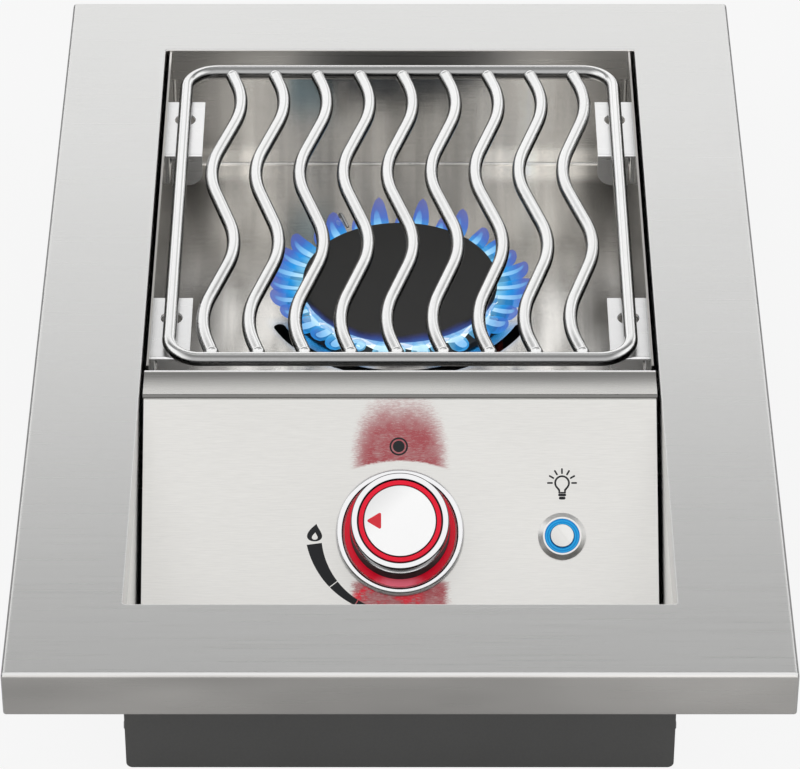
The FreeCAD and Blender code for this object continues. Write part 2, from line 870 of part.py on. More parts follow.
def make_control_panel():
    path = [(crosspiece_front, panel_top - panel_flange), (crosspiece_front, panel_top),
            (panel_foot_y, panel_foot_z), (recess_front, panel_foot_z),
            (recess_front, panel_foot_z + recess_lip)]
    panel = folded_sheet(path, panel_sheet, panel_bend, lambda a, b: V(-panel_half, a, b),
                         V(2 * panel_half, 0, 0))
    side = block(panel_half - panel_sheet, panel_half, -panel_slope + panel_return_margin,
                 -panel_return_margin * 2, -panel_side_return, -panel_sheet / 2)
    panel = panel.fuse([on_panel(side), on_panel(mirrored(side))])
    deep = 3 * panel_sheet
    knob_hole = Part.makeCylinder(stem_hole_radius, 2 * deep, V(0, 0, -deep))
    button_hole = Part.makeCylinder(button_barrel_radius + screw_clearance, 2 * deep, V(0, 0, -deep))
    cuts = [on_panel(knob_hole, 0, knob_down_slope), on_panel(button_hole, button_across, button_down_slope)]
    for x, y in valve_screw_places():
        hole = Part.makeCylinder(screw_radius + screw_clearance, 2 * deep, V(x, y, -deep))
        cuts.append(on_panel(hole, 0, knob_down_slope))
    x, y = lamp_cable_place()
    cuts.append(on_panel(Part.makeCylinder(cable_radius + screw_clearance, 2 * deep, V(x, y, -deep)),
                         0, knob_down_slope))
    for point in panel_screw_points(crosspiece_front):
        cuts.append(rod(point - AXIS_Y * 2, point + AXIS_Y, screw_radius + screw_clearance))
    for point in recess_screw_points(panel_foot_z):
        cuts.append(rod(point - AXIS_Z * 2, point + AXIS_Z, screw_radius + screw_clearance))
    return cut_all(panel, cuts).removeSplitter()


def valve_screw_places():
    return [(side * valve_screw_across, 0.0) for side in (-1, 1)]


def lamp_cable_place():
    """Where the lamp board's cable goes through the panel, beside the valve."""
    middle = (light_ring_inner + bezel_bore) / 2
    angle = math.radians(lamp_cable_angle)
    return middle * math.cos(angle), middle * math.sin(angle)


# Grate

def make_grate_frame():
    corner_x = grate_half_width - grate_corner
    corner_front = grate_front_y + grate_corner
    corner_back = grate_back_y - grate_corner
    pieces = [rod(V(-corner_x, grate_front_y, grate_z), V(corner_x, grate_front_y, grate_z), rod_radius),
              rod(V(-corner_x, grate_back_y, grate_z), V(corner_x, grate_back_y, grate_z), rod_radius)]
    for side in (-1, 1):
        x = side * grate_half_width
        pieces.append(rod(V(x, corner_front, grate_z), V(x, corner_back, grate_z), rod_radius))
    for x, y, start in ((corner_x, corner_back, 0), (-corner_x, corner_back, 90),
                        (-corner_x, corner_front, 180), (corner_x, corner_front, 270)):
        angle = math.radians(start)
        radial = V(math.cos(angle), math.sin(angle), 0)
        centre = V(x, y, grate_z)
        section = Part.Circle(centre + radial * grate_corner, AXIS_Z.cross(radial), rod_radius)
        face = Part.Face(Part.Wire([section.toShape()]))
        pieces.append(face.revolve(centre, AXIS_Z, 90))
    return pieces[0].fuse(pieces[1:]).removeSplitter()


def wave_wire(x):
    """The bent line of one wavy rod: straight runs through the axis, joined by arcs at the crests."""
    quarter = grate_length / waves_per_rod / 4
    rise = wave_bend_radius - wave_amplitude
    reach = math.hypot(quarter, rise)
    run = math.sqrt(reach ** 2 - wave_bend_radius ** 2)
    slope = math.asin(wave_bend_radius / reach) - math.atan2(rise, quarter)
    sideways = rod_end_setback * math.tan(slope)
    edges = []
    start = V(x + sideways, grate_back_y - rod_end_setback, grate_z)
    for crest in range(2 * waves_per_rod):
        side = 1 if crest % 2 == 0 else -1
        first = grate_back_y - 2 * quarter * crest
        peak = first - quarter
        into = V(x + side * run * math.sin(slope), first - run * math.cos(slope), grate_z)
        top = V(x + side * wave_amplitude, peak, grate_z)
        out = V(into.x, 2 * peak - into.y, grate_z)
        edges.append(Part.LineSegment(start, into).toShape())
        edges.append(Part.Arc(into, top, out).toShape())
        start = out
    end = V(x - sideways, grate_front_y + rod_end_setback, grate_z)
    edges.append(Part.LineSegment(start, end).toShape())
    return Part.Wire(edges)


def make_wave_rod(x):
    """A wavy rod with round ends, each welded to the side of one of the frame's cross rods."""
    wire = wave_wire(x)
    ends = (wire.OrderedVertexes[0].Point, wire.OrderedVertexes[-1].Point)
    rounds = []
    for end, y in zip(ends, (grate_back_y, grate_front_y)):
        cross_rod = rod(V(x - wave_pitch, y, grate_z), V(x + wave_pitch, y, grate_z), rod_radius)
        rounds.append(Part.makeSphere(rod_radius + weld_bead, end).cut(cross_rod))
    return swept(wire, rod_radius).fuse(rounds)


# Burner

def make_burner_base():
    bottom = casing_sheet + bowl_floor_gap
    corner = bowl_radius - bowl_corner
    profile = [(0, bottom), (corner, bottom), (bowl_radius, bottom + bowl_corner), (bowl_radius, floor_top),
               (base_flange_radius, floor_top), (base_flange_radius - 1, base_top), (ring_bore, base_top),
               (ring_bore, floor_top), (bowl_radius - bowl_wall, floor_top - bowl_wall),
               (bowl_radius - bowl_wall, bottom + bowl_corner), (corner, bottom + bowl_wall),
               (0, bottom + bowl_wall)]
    base = revolved(profile, V(0, burner_y, 0))
    boss_front = V(0, burner_y - bowl_radius - mixer_insert, mixer_height)
    boss_back = V(0, burner_y - bowl_radius + bowl_wall, mixer_height)
    boss = rod(boss_front, boss_back, mixer_radius + boss_wall)
    bore = rod(boss_front - AXIS_Y, boss_back + AXIS_Y * bowl_wall * 2, mixer_radius + fit_gap)
    base = base.fuse(boss.cut(inside_of_bowl(bottom))).cut(bore)
    holes = [rod(point, point + AXIS_Z * 4, screw_radius + fit_gap)
             for point in burner_screw_points(floor_top - 1)]
    return cut_all(base, holes).removeSplitter()


def inside_of_bowl(bottom):
    return rod(V(0, burner_y, bottom + bowl_wall), V(0, burner_y, floor_top), bowl_radius - bowl_wall)


def make_port_ring():
    ring = washer_shape(ring_radius, ring_bore, base_top, ring_top)
    ring.translate(V(0, burner_y, 0))
    height = ring_top - port_drop
    ports = []
    for index in range(port_count):
        angle = 2 * math.pi * (index + 0.5) / port_count
        out = V(math.cos(angle), math.sin(angle), 0)
        centre = V(0, burner_y, height)
        ports.append(rod(centre + out * (ring_bore - 1), centre + out * (ring_radius + 1), port_radius))
    return cut_all(ring, ports)


def make_burner_cap():
    top = cap_bottom + cap_thickness
    spigot_inner = cap_spigot_radius - cap_spigot_wall
    profile = [(0, cap_bottom), (spigot_inner, cap_bottom), (spigot_inner, cap_bottom - cap_spigot_depth),
               (cap_spigot_radius, cap_bottom - cap_spigot_depth), (cap_spigot_radius, cap_bottom),
               (cap_radius, cap_bottom), (cap_radius, top), (0, top)]
    cap = revolved(profile, V(0, burner_y, 0))
    return cap.makeFillet(cap_round, edges_where(cap, lambda edge: at_height(edge, top)
                                                 and edge.BoundBox.XLength > 2 * cap_radius - 1))


def make_mixer_tube():
    """A necked tube that draws air in at the orifice and feeds the burner base."""
    length = mixer_end - mixer_start
    neck_end = neck_start + neck_length
    outer = [(mixer_radius, 0), (mixer_radius, neck_start - neck_funnel), (mixer_throat_radius, neck_start),
             (mixer_throat_radius, neck_end), (mixer_radius, neck_end + neck_flare), (mixer_radius, length)]
    inner = [(r - mixer_wall, z) for r, z in outer[::-1]]
    inner[-1] = (mixer_radius - mixer_wall, mixer_wall)
    mouth = orifice_tip_radius + 2 * part_gap
    tube_solid = revolved(outer + inner + [(mouth, mixer_wall), (mouth, 0)])
    tube_solid.Placement = mixer_place()
    return cut_all(tube_solid, air_windows(mixer_radius))


def mixer_place():
    """Turns a solid made about Z so that it lies along the mixer's axis."""
    return FreeCAD.Placement(V(0, mixer_start, mixer_height), FreeCAD.Rotation(AXIS_X, -90))


def air_windows(radius):
    half = radius * math.sin(math.radians(window_angle / 2))
    y0 = mixer_start + window_start
    return [block(-radius * 2, radius * 2, y0, y0 + window_length, mixer_height - half, mixer_height + half)]


def make_air_shutter():
    inner = mixer_radius + shutter_gap
    outer = inner + shutter_wall
    sleeve = washer_shape(outer, inner, shutter_start, shutter_start + shutter_length)
    tab = block(-shutter_tab_half, shutter_tab_half, -outer - shutter_tab_reach, -inner - shutter_wall / 2,
                shutter_start, shutter_start + shutter_tab_length)
    sleeve = sleeve.fuse(tab)
    sleeve.Placement = mixer_place()
    return cut_all(sleeve, air_windows(inner))


def make_gas_orifice():
    hex_end = mixer_start - part_gap * 3
    hex_start = hex_end - orifice_length
    axis = lambda y: V(0, y, mixer_height)
    solid = hexagon(orifice_hex, axis(hex_start), axis(hex_end))
    spigot = rod(axis(hex_start - orifice_spigot), axis(hex_start), elbow_bore - fit_gap)
    tip_end = orifice_tip_radius - orifice_tip_taper
    tip = Part.makeCone(orifice_tip_radius, tip_end, orifice_tip, axis(hex_end), AXIS_Y)
    solid = solid.fuse([spigot, tip])
    feed = rod(axis(hex_start - orifice_spigot - 1), axis(hex_end + orifice_feed_reach), orifice_feed_radius)
    jet = rod(axis(hex_end), axis(hex_end + orifice_tip + 1), orifice_hole_radius)
    return solid.cut(feed).cut(jet)


# Valve, made about the upright axis below the panel's face, then moved onto the panel

def at_knob(shape):
    return on_panel(shape, 0, knob_down_slope)


def make_valve_bonnet():
    top = -panel_sheet
    ears = block(-ear_half_length, ear_half_length, -ear_half_width, ear_half_width, top - ear_thickness, top)
    ears = ears.makeFillet(ear_half_width * ear_round_share, edges_where(ears, is_upright))
    drum = Part.makeCylinder(bonnet_radius, bonnet_depth, V(0, 0, -bonnet_bottom))
    cavity_depth = cavity_bottom - panel_sheet - bonnet_roof
    cavity = Part.makeCylinder(bonnet_cavity_radius, cavity_depth, V(0, 0, -cavity_bottom))
    stem = Part.makeCylinder(stem_radius + part_gap, bonnet_roof + 1, V(0, 0, top - bonnet_roof - 0.5))
    tail = Part.makeCylinder(tongue_width / 2 + part_gap, bonnet_floor + 1, V(0, 0, -bonnet_bottom - 0.5))
    holes = [Part.makeCylinder(screw_radius + fit_gap, ear_thickness + 1, V(x, y, top - ear_thickness - 0.5))
             for x, y in valve_screw_places()]
    return at_knob(cut_all(ears.fuse(drum), [cavity, stem, tail] + holes).removeSplitter())


def rotor_radius_at(depth):
    share = (depth - rotor_top) / rotor_length
    return rotor_top_radius + (rotor_bottom_radius - rotor_top_radius) * share


def make_valve_body():
    top = -bonnet_bottom
    body = Part.makeCylinder(body_radius, body_length, V(0, 0, -body_bottom))
    rims = edges_where(body, lambda edge: at_height(edge, -body_bottom))
    body = body.makeChamfer(body_chamfer, rims)
    boss = rod(V(-body_radius + 2, 0, -inlet_depth), V(-inlet_boss_reach, 0, -inlet_depth), inlet_boss_radius)
    rotor_bottom = rotor_top + rotor_length + part_gap
    seat = revolved([(0, -rotor_bottom), (rotor_radius_at(rotor_bottom) + fit_gap, -rotor_bottom),
                     (rotor_radius_at(rotor_top) + fit_gap, -rotor_top),
                     (rotor_top_radius + part_gap, top), (0, top)])
    outlet = Part.makeCylinder(elbow_bore, body_bottom - rotor_bottom + 1, V(0, 0, -body_bottom - 1))
    mouth = V(-inlet_boss_reach - 1, 0, -inlet_depth)
    inlet = rod(V(0, 0, -inlet_depth), mouth, gas_tube_radius - gas_tube_wall)
    return at_knob(cut_all(body.fuse(boss), [seat, outlet, inlet]).removeSplitter())


def make_valve_rotor():
    bottom = rotor_top + rotor_length
    rotor = revolved([(0, -bottom), (rotor_bottom_radius, -bottom),
                      (rotor_top_radius, -rotor_top), (0, -rotor_top)])
    half = tongue_thickness / 2 + slot_clearance
    across = rotor_top_radius * 2
    slot = block(-across, across, -half, half, -rotor_top - slot_depth, -rotor_top + 1)
    cross = rod(V(0, 0, -inlet_depth), V(-rotor_top_radius * 2, 0, -inlet_depth), gas_bore)
    axial = Part.makeCylinder(gas_bore, bottom - inlet_depth + 1, V(0, 0, -bottom - 1))
    return at_knob(cut_all(rotor, [slot, cross, axial]))


def make_valve_stem():
    tongue_top = -rotor_top + press_travel + part_gap
    tongue_length = tongue_top + rotor_top + tongue_engaged
    shaft = Part.makeCylinder(stem_radius, stem_top + collar_top, V(0, 0, -collar_top))
    flat = block(-stem_radius, stem_radius, stem_flat, stem_radius + 1, knob_base - 1, stem_top + 1)
    collar = Part.makeCylinder(collar_radius, collar_thickness, V(0, 0, -collar_top - collar_thickness))
    tail_length = -collar_top - collar_thickness - tongue_top
    tail = Part.makeCylinder(tongue_width / 2 - fit_gap, tail_length, V(0, 0, tongue_top))
    half_w, half_t = tongue_width / 2 - fit_gap, tongue_thickness / 2
    tongue = block(-half_w, half_w, -half_t, half_t, tongue_top - tongue_length, tongue_top)
    tongue = tongue.common(Part.makeCylinder(half_w, tongue_length, V(0, 0, tongue_top - tongue_length)))
    return at_knob(shaft.cut(flat).fuse([collar, tail, tongue]).removeSplitter())


def make_thrust_washer():
    inner = tongue_width / 2 + part_gap
    return at_knob(washer_shape(washer_radius, inner, -washer_top - washer_thickness, -washer_top))


def make_stem_spring():
    bottom = -cavity_bottom + fit_gap
    return at_knob(coil(stem_spring_radius, spring_wire, bottom, -spring_top, stem_spring_turns))


def valve_end():
    return panel_point(0, knob_down_slope, -body_bottom)


def make_outlet_elbow():
    """From the valve's lower end round to the level axis of the mixer tube."""
    start = valve_end()
    down_back = panel_point(0, knob_down_slope, -body_bottom - 1) - start
    corner = start + down_back * ((start.z - mixer_height) / -down_back.z)
    end = V(0, mixer_start - part_gap * 3 - orifice_length, mixer_height)
    wire = rounded_wire([start, corner, end], elbow_bend)
    return tube(wire, elbow_radius, elbow_bore)


# Gas supply line

def valve_inlet():
    return panel_point(-inlet_boss_reach, knob_down_slope, -inlet_depth)


def inlet_inner_end():
    return V(gas_line_across, casing_back - inlet_shoulder - inlet_hex_length, back_fitting_height)


def make_gas_tube_nut():
    start = valve_inlet()
    end = start - AXIS_X * nut_length
    nut = hexagon(nut_hex, start, end)
    return nut.cut(rod(start + AXIS_X, end - AXIS_X, gas_tube_radius + fit_gap))


def make_gas_supply_tube():
    start = valve_inlet()
    end = inlet_inner_end()
    points = [start, V(gas_line_across, start.y, start.z),
              V(gas_line_across, tray_front, back_fitting_height), end]
    return tube(rounded_wire(points, gas_tube_bend), gas_tube_radius, gas_tube_radius - gas_tube_wall)


def make_gas_inlet_fitting():
    axis = lambda y: V(gas_line_across, y, back_fitting_height)
    thread_start = casing_back + casing_sheet + lock_nut_length
    thread_end = thread_start + inlet_thread_length
    start = inlet_inner_end()
    shoulder = casing_back - inlet_shoulder
    solid = hexagon(inlet_hex, start, axis(shoulder))
    bore_radius = gas_tube_radius - gas_tube_wall
    parts = [rod(axis(shoulder), axis(casing_back), inlet_shoulder_radius),
             rod(axis(casing_back), axis(thread_start), inlet_shank_radius),
             rod(axis(thread_start), axis(thread_end), inlet_thread_radius),
             Part.makeCone(inlet_thread_radius - 1, inlet_thread_radius - 1 - inlet_cone, inlet_cone,
                           axis(thread_end), AXIS_Y)]
    return solid.fuse(parts).cut(rod(start - AXIS_Y, axis(thread_end + inlet_cone + 1), bore_radius))


def make_inlet_lock_nut():
    axis = lambda y: V(gas_line_across, y, back_fitting_height)
    start = axis(casing_back + casing_sheet)
    end = start + AXIS_Y * lock_nut_length
    bore = rod(start - AXIS_Y, end + AXIS_Y, inlet_shank_radius + fit_gap)
    return hexagon(lock_nut_hex, start, end).cut(bore)


# Knob and bezel

def make_knob_bezel():
    profile = [(bezel_hole, 0), (bezel_radius, 0), (bezel_radius, bezel_height), (bezel_bore, bezel_height),
               (bezel_bore, bezel_floor), (bezel_hole, bezel_floor)]
    bezel = revolved(profile)
    outer_rim = edges_where(bezel, lambda edge: at_height(edge, bezel_height)
                            and edge.BoundBox.XLength > 2 * bezel_radius - 1)
    bezel = bezel.makeFillet(bezel_outer_round, outer_rim)
    inner_rim = edges_where(bezel, lambda edge: at_height(edge, bezel_height)
                            and edge.BoundBox.XLength < 2 * bezel_bore + 1)
    bezel = bezel.makeFillet(bezel_inner_round, inner_rim)
    holes = [Part.makeCylinder(screw_radius + screw_clearance, 4, V(x, y, -1))
             for x, y in valve_screw_places()]
    x, y = lamp_cable_place()
    holes.append(Part.makeCylinder(cable_radius + screw_clearance, 4, V(x, y, -1)))
    return at_knob(cut_all(bezel, holes))


def ring_in_bezel(bottom, thickness):
    outer = bezel_bore - light_ring_gap
    return at_knob(washer_shape(outer, light_ring_inner, bottom, bottom + thickness))


def make_bezel_lamp_board():
    return ring_in_bezel(bezel_floor, lamp_board)


def make_bezel_light_ring():
    return ring_in_bezel(bezel_floor + lamp_board, light_ring)


def make_knob_skirt():
    """The black lower half of the knob, with the hub that grips the stem."""
    inner = knob_base_radius - skirt_wall
    web = knob_wall
    profile = [(0, knob_base), (hub_radius, knob_base), (hub_radius, knob_split - web),
               (inner, knob_split - web), (inner, knob_base), (knob_base_radius, knob_base),
               (knob_split_radius, knob_split),
               (hub_radius, knob_split), (hub_radius, hub_top), (0, hub_top)]
    skirt = revolved(profile)
    bore = Part.makeCylinder(stem_radius + fit_gap, stem_top - knob_base + 1.2, V(0, 0, knob_base - 1))
    keep = block(-stem_radius * 2, stem_radius * 2, stem_flat + fit_gap, stem_radius * 2, knob_base, hub_top)
    return at_knob(skirt.cut(bore.cut(keep)))


def make_knob_shell():
    inner = knob_split_radius - knob_wall
    floor = knob_top - knob_recess
    profile = [(inner, knob_split), (knob_split_radius, knob_split), (knob_top_radius, knob_top),
               (knob_recess_radius, knob_top), (knob_recess_radius, floor), (0, floor),
               (0, floor - knob_plate), (inner, floor - knob_plate)]
    shell = revolved(profile)
    rim = edges_where(shell, lambda edge: at_height(edge, knob_top))
    return at_knob(shell.makeFillet(knob_edge, rim))


def make_knob_light_ring():
    floor = knob_top - knob_recess
    return at_knob(washer_shape(knob_ring_radius, knob_ring_inner, floor, knob_top - knob_ring_drop))


def make_knob_face_disc():
    disc = Part.makeCylinder(knob_disc_radius, knob_recess, V(0, 0, knob_top - knob_recess))
    rim = edges_where(disc, lambda edge: at_height(edge, knob_top))
    return at_knob(disc.makeFillet(knob_disc_round, rim))


# Light button

def at_button(shape):
    return on_panel(shape, button_across, button_down_slope)


def make_button_housing():
    recess_floor = button_height - button_recess
    bore = button_cap_radius + button_bore_gap
    profile = [(0, -button_barrel), (button_barrel_radius, -button_barrel), (button_barrel_radius, 0),
               (button_bezel_radius, 0), (button_bezel_radius, button_bezel_edge),
               (button_lip_radius, button_height), (button_recess_radius, button_height),
               (button_recess_radius, recess_floor), (bore, recess_floor), (bore, -button_bore_depth),
               (0, -button_bore_depth)]
    housing = revolved(profile)
    pins = [Part.makeCylinder(terminal_radius, terminal_length, V(x, 0, -button_barrel - terminal_length))
            for x in (-terminal_offset, terminal_offset)]
    return at_button(housing.fuse(pins))


def make_button_light_ring():
    recess_floor = button_height - button_recess
    inner = button_cap_radius + button_bore_gap
    outer = button_recess_radius - fit_gap
    ring = washer_shape(outer, inner, recess_floor, button_height)
    rims = edges_where(ring, lambda edge: at_height(edge, button_height))
    return at_button(ring.makeFillet(button_edge_round, rims))


def make_button_cap():
    bottom = button_cap_top - button_cap_thickness
    cap = Part.makeCylinder(button_cap_radius, button_cap_thickness, V(0, 0, bottom))
    rim = edges_where(cap, lambda edge: at_height(edge, button_cap_top))
    cap = cap.makeFillet(button_edge_round, rim)
    plunger = Part.makeCylinder(button_plunger_radius, button_plunger, V(0, 0, bottom - button_plunger))
    return at_button(cap.fuse(plunger))


def make_button_spring():
    bottom = button_cap_top - button_cap_thickness
    return at_button(coil(button_spring_radius, spring_wire, -button_bore_depth + fit_gap, bottom - part_gap,
                          button_spring_turns))


def make_button_lock_nut():
    start, end = V(0, 0, -panel_sheet), V(0, 0, -panel_sheet - button_nut)
    bore = rod(start + AXIS_Z, end - AXIS_Z, button_barrel_radius + fit_gap)
    return at_button(hexagon(button_nut_hex, start, end).cut(bore))


# Igniter and electrics

def igniter_point(z, circle=igniter_circle):
    angle = math.radians(igniter_angle)
    return V(circle * math.cos(angle), burner_y + circle * math.sin(angle), z)


def make_igniter_insulator():
    bore = electrode_radius + fit_gap
    collar_top_z = floor_under
    profile = [(bore, insulator_bottom), (insulator_radius, insulator_bottom),
               (insulator_radius, collar_top_z - insulator_collar),
               (insulator_collar_radius, collar_top_z - insulator_collar),
               (insulator_collar_radius, collar_top_z),
               (insulator_radius, collar_top_z), (insulator_radius, insulator_top - 1),
               (insulator_radius - 1, insulator_top), (bore, insulator_top)]
    return revolved(profile, V(igniter_x, igniter_y, 0))


def make_electrode_wire():
    points = [igniter_point(boot_bottom + 2), igniter_point(electrode_top),
              igniter_point(electrode_tip_height, electrode_tip_circle)]
    return swept(rounded_wire(points, electrode_bend), electrode_radius)


def make_ignition_lead():
    """A boot on the electrode and the lead from it, under the tray, to the control module."""
    level = (boot_bottom + insulator_bottom) / 2
    boot = rod(igniter_point(boot_bottom), igniter_point(insulator_bottom), boot_radius)
    start = igniter_point(level)
    turn_y = start.y + lead_detour
    across = bowl_radius + lead_from_bowl
    points = [start, V(start.x, turn_y, level), V(across, turn_y, level), V(across, module_back, level)]
    lead = swept(rounded_wire(points, lead_bend), lead_radius)
    core = rod(igniter_point(boot_bottom + 2), igniter_point(insulator_bottom + 1),
               electrode_radius + fit_gap)
    return boot.fuse(lead).cut(core)


def make_control_module():
    """The closed box that makes the spark and feeds the lamps."""
    top = module_bottom + module_height
    box = block(module_left, module_right, module_front, module_back, module_bottom, top)
    box = box.makeFillet(module_round, edges_where(box, is_upright))
    return box.makeFillet(module_round / 2, edges_where(box, lambda edge: at_height(edge, top)))


def make_wiring_loom():
    """Three cables: socket to module, button to module and lamp board to module."""
    level = module_bottom + module_height / 2
    socket_end = V(socket_across, casing_back - socket_depth, back_fitting_height)
    power = rod(socket_end, V(socket_across, module_back, back_fitting_height), cable_radius)
    pins = panel_point(button_across, button_down_slope, -button_barrel - terminal_length)
    inwards = panel_point(0, 0, -1) - panel_point(0, 0, 0)
    reach = (module_front - pins.y) / inwards.y
    button = rod(pins, pins + inwards * (reach + 2), cable_radius)
    x, y = lamp_cable_place()
    start = panel_point(x, knob_down_slope - y, bezel_floor)
    below = panel_point(x, knob_down_slope - y, -lamp_cable_drop)
    beside = V(x + lamp_cable_shift, module_front + module_length / 8, level)
    lamp_points = [start, below, beside, V(module_left, (module_front + module_back) / 2, level)]
    lamp = swept(rounded_wire(lamp_points, cable_bend), cable_radius)
    module = make_control_module()
    return Part.makeCompound([power.cut(module), button.cut(module), lamp.cut(module)])


def make_power_socket():
    axis = lambda y: V(socket_across, y, back_fitting_height)
    outside = casing_back + casing_sheet
    body = rod(axis(casing_back - socket_depth), axis(outside), socket_radius)
    flange = rod(axis(outside), axis(outside + socket_flange), socket_flange_radius)
    mouth = axis(outside + socket_flange)
    bore = rod(mouth + AXIS_Y, mouth - AXIS_Y * socket_bore_depth, socket_bore)
    pin = rod(mouth - AXIS_Y * (socket_bore_depth + 0.5), mouth - AXIS_Y, socket_pin)
    return body.fuse(flange).cut(bore).fuse(pin)


# Screws

def pan_head_screw(seat, along, length):
    """A screw whose head sits on the seat point; along points from the head to the tip."""
    head = Part.makeCylinder(screw_head_radius, screw_head, seat - along * screw_head, along)
    crown = edges_where(head, lambda edge: edge.Closed
                        and (edge.CenterOfMass - (seat - along * screw_head)).Length < 1e-3)
    head = head.makeFillet(screw_round, crown)
    return head.fuse(rod(seat, seat + along * length, screw_radius))


def make_pan_head_screws():
    screws = [pan_head_screw(point, -AXIS_Z, base_flange + tray_sheet + screw_tip)
              for point in burner_screw_points(base_top)]
    screws += [pan_head_screw(point, -AXIS_Z, panel_foot_z - sheet_gap)
               for point in recess_screw_points(panel_foot_z)]
    screws += [pan_head_screw(point, AXIS_Y, panel_sheet + tray_sheet + screw_tip)
               for point in panel_screw_points(crosspiece_front - panel_sheet)]
    for x, y in valve_screw_places():
        seat = panel_point(x, knob_down_slope - y, bezel_floor)
        inwards = panel_point(0, 0, -1) - panel_point(0, 0, 0)
        screws.append(pan_head_screw(seat, inwards, bezel_floor + panel_sheet + ear_thickness + screw_tip))
    return Part.makeCompound(screws)


def all_pieces():
    pieces = {
        "trim_frame": make_trim_frame(),
        "casing_wrap": make_casing_wrap(),
        "casing_front_panel": make_end_panel(casing_front, -1),
        "casing_back_panel": make_casing_back_panel(),
        "panel_cheeks": make_panel_cheeks(),
        "tray_rails": make_tray_rails(),
        "burner_tray": make_burner_tray(),
        "bracket_front_left": make_bracket(front_bracket, True),
        "bracket_front_right": make_bracket(front_bracket, False),
        "bracket_back_left": make_bracket(back_bracket, True),
        "bracket_back_right": make_bracket(back_bracket, False),
        "pop_rivets": make_pop_rivets(),
        "crosspiece": make_crosspiece(),
        "control_panel": make_control_panel(),
        "grate_frame": make_grate_frame(),
        "burner_base": make_burner_base(),
        "burner_port_ring": make_port_ring(),
        "burner_cap": make_burner_cap(),
        "mixer_tube": make_mixer_tube(),
        "air_shutter": make_air_shutter(),
        "gas_orifice": make_gas_orifice(),
        "valve_bonnet": make_valve_bonnet(),
        "valve_body": make_valve_body(),
        "valve_rotor": make_valve_rotor(),
        "valve_stem": make_valve_stem(),
        "thrust_washer": make_thrust_washer(),
        "stem_spring": make_stem_spring(),
        "outlet_elbow": make_outlet_elbow(),
        "gas_tube_nut": make_gas_tube_nut(),
        "gas_supply_tube": make_gas_supply_tube(),
        "gas_inlet_fitting": make_gas_inlet_fitting(),
        "inlet_lock_nut": make_inlet_lock_nut(),
        "knob_bezel": make_knob_bezel(),
        "bezel_lamp_board": make_bezel_lamp_board(),
        "bezel_light_ring": make_bezel_light_ring(),
        "knob_skirt": make_knob_skirt(),
        "knob_shell": make_knob_shell(),
        "knob_light_ring": make_knob_light_ring(),
        "knob_face_disc": make_knob_face_disc(),
        "button_housing": make_button_housing(),
        "button_light_ring": make_button_light_ring(),
        "button_cap": make_button_cap(),
        "button_spring": make_button_spring(),
        "button_lock_nut": make_button_lock_nut(),
        "igniter_insulator": make_igniter_insulator(),
        "electrode_wire": make_electrode_wire(),
        "ignition_lead": make_ignition_lead(),
        "control_module": make_control_module(),
        "wiring_loom": make_wiring_loom(),
        "power_socket": make_power_socket(),
        "pan_head_screws": make_pan_head_screws(),
    }
    for index in range(wave_rods):
        x = (index - (wave_rods - 1) / 2) * wave_pitch
        pieces["wave_rod_%d" % (index + 1)] = make_wave_rod(x)
    return pieces


def main():
    os.makedirs("parts", exist_ok=True)
    for name, shape in all_pieces().items():
        solids = shape.Solids
        if not shape.isValid() or any(solid.Volume <= 0 for solid in solids):
            print("check", name, shape.isValid(), [round(solid.Volume, 2) for solid in solids])
        print("%-22s %2d solids %10.1f mm3" % (name, len(solids), shape.Volume))
        shape.exportStep("parts/%s.step" % name)


main()
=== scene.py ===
"""Dresses the built-in side burner: finishes, printed signs, springs, flames and studio."""
import json
import math
import random

import bpy
from bpy.props import FloatProperty, FloatVectorProperty, IntProperty, PointerProperty
from mathutils import Matrix, Vector


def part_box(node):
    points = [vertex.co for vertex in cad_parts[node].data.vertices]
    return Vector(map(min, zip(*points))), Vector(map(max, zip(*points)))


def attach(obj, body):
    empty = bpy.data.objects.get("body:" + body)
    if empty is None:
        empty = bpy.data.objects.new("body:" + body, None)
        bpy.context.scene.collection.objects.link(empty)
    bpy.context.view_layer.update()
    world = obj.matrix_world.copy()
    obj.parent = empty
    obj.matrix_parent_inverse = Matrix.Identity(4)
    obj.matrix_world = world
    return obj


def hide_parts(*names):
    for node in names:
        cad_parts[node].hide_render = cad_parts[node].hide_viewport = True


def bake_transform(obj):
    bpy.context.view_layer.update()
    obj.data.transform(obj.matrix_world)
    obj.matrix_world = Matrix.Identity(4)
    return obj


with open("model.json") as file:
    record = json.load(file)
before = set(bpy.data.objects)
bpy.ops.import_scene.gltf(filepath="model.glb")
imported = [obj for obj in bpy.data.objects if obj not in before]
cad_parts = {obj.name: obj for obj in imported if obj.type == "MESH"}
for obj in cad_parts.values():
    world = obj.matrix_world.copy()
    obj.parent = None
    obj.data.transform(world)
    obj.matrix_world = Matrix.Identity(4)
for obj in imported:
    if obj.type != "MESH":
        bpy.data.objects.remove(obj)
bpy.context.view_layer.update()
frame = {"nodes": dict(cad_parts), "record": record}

bl_info = {
    "name": "Side Burner Dressing",
    "version": (1, 0, 0),
    "blender": (4, 5, 0),
    "location": "3D View > Sidebar > Side Burner",
    "description": "Finishes, printed signs, springs, flames and studio of a built-in side burner",
    "category": "Object",
}

MM = 0.001
HOUSING = "burner_housing"


# Places read from the frame

def joint_named(name):
    return next(joint for joint in frame["record"]["behaviour"]["joints"] if joint["name"] == name)


def middle_of(node):
    low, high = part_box(node)
    return (low + high) / 2


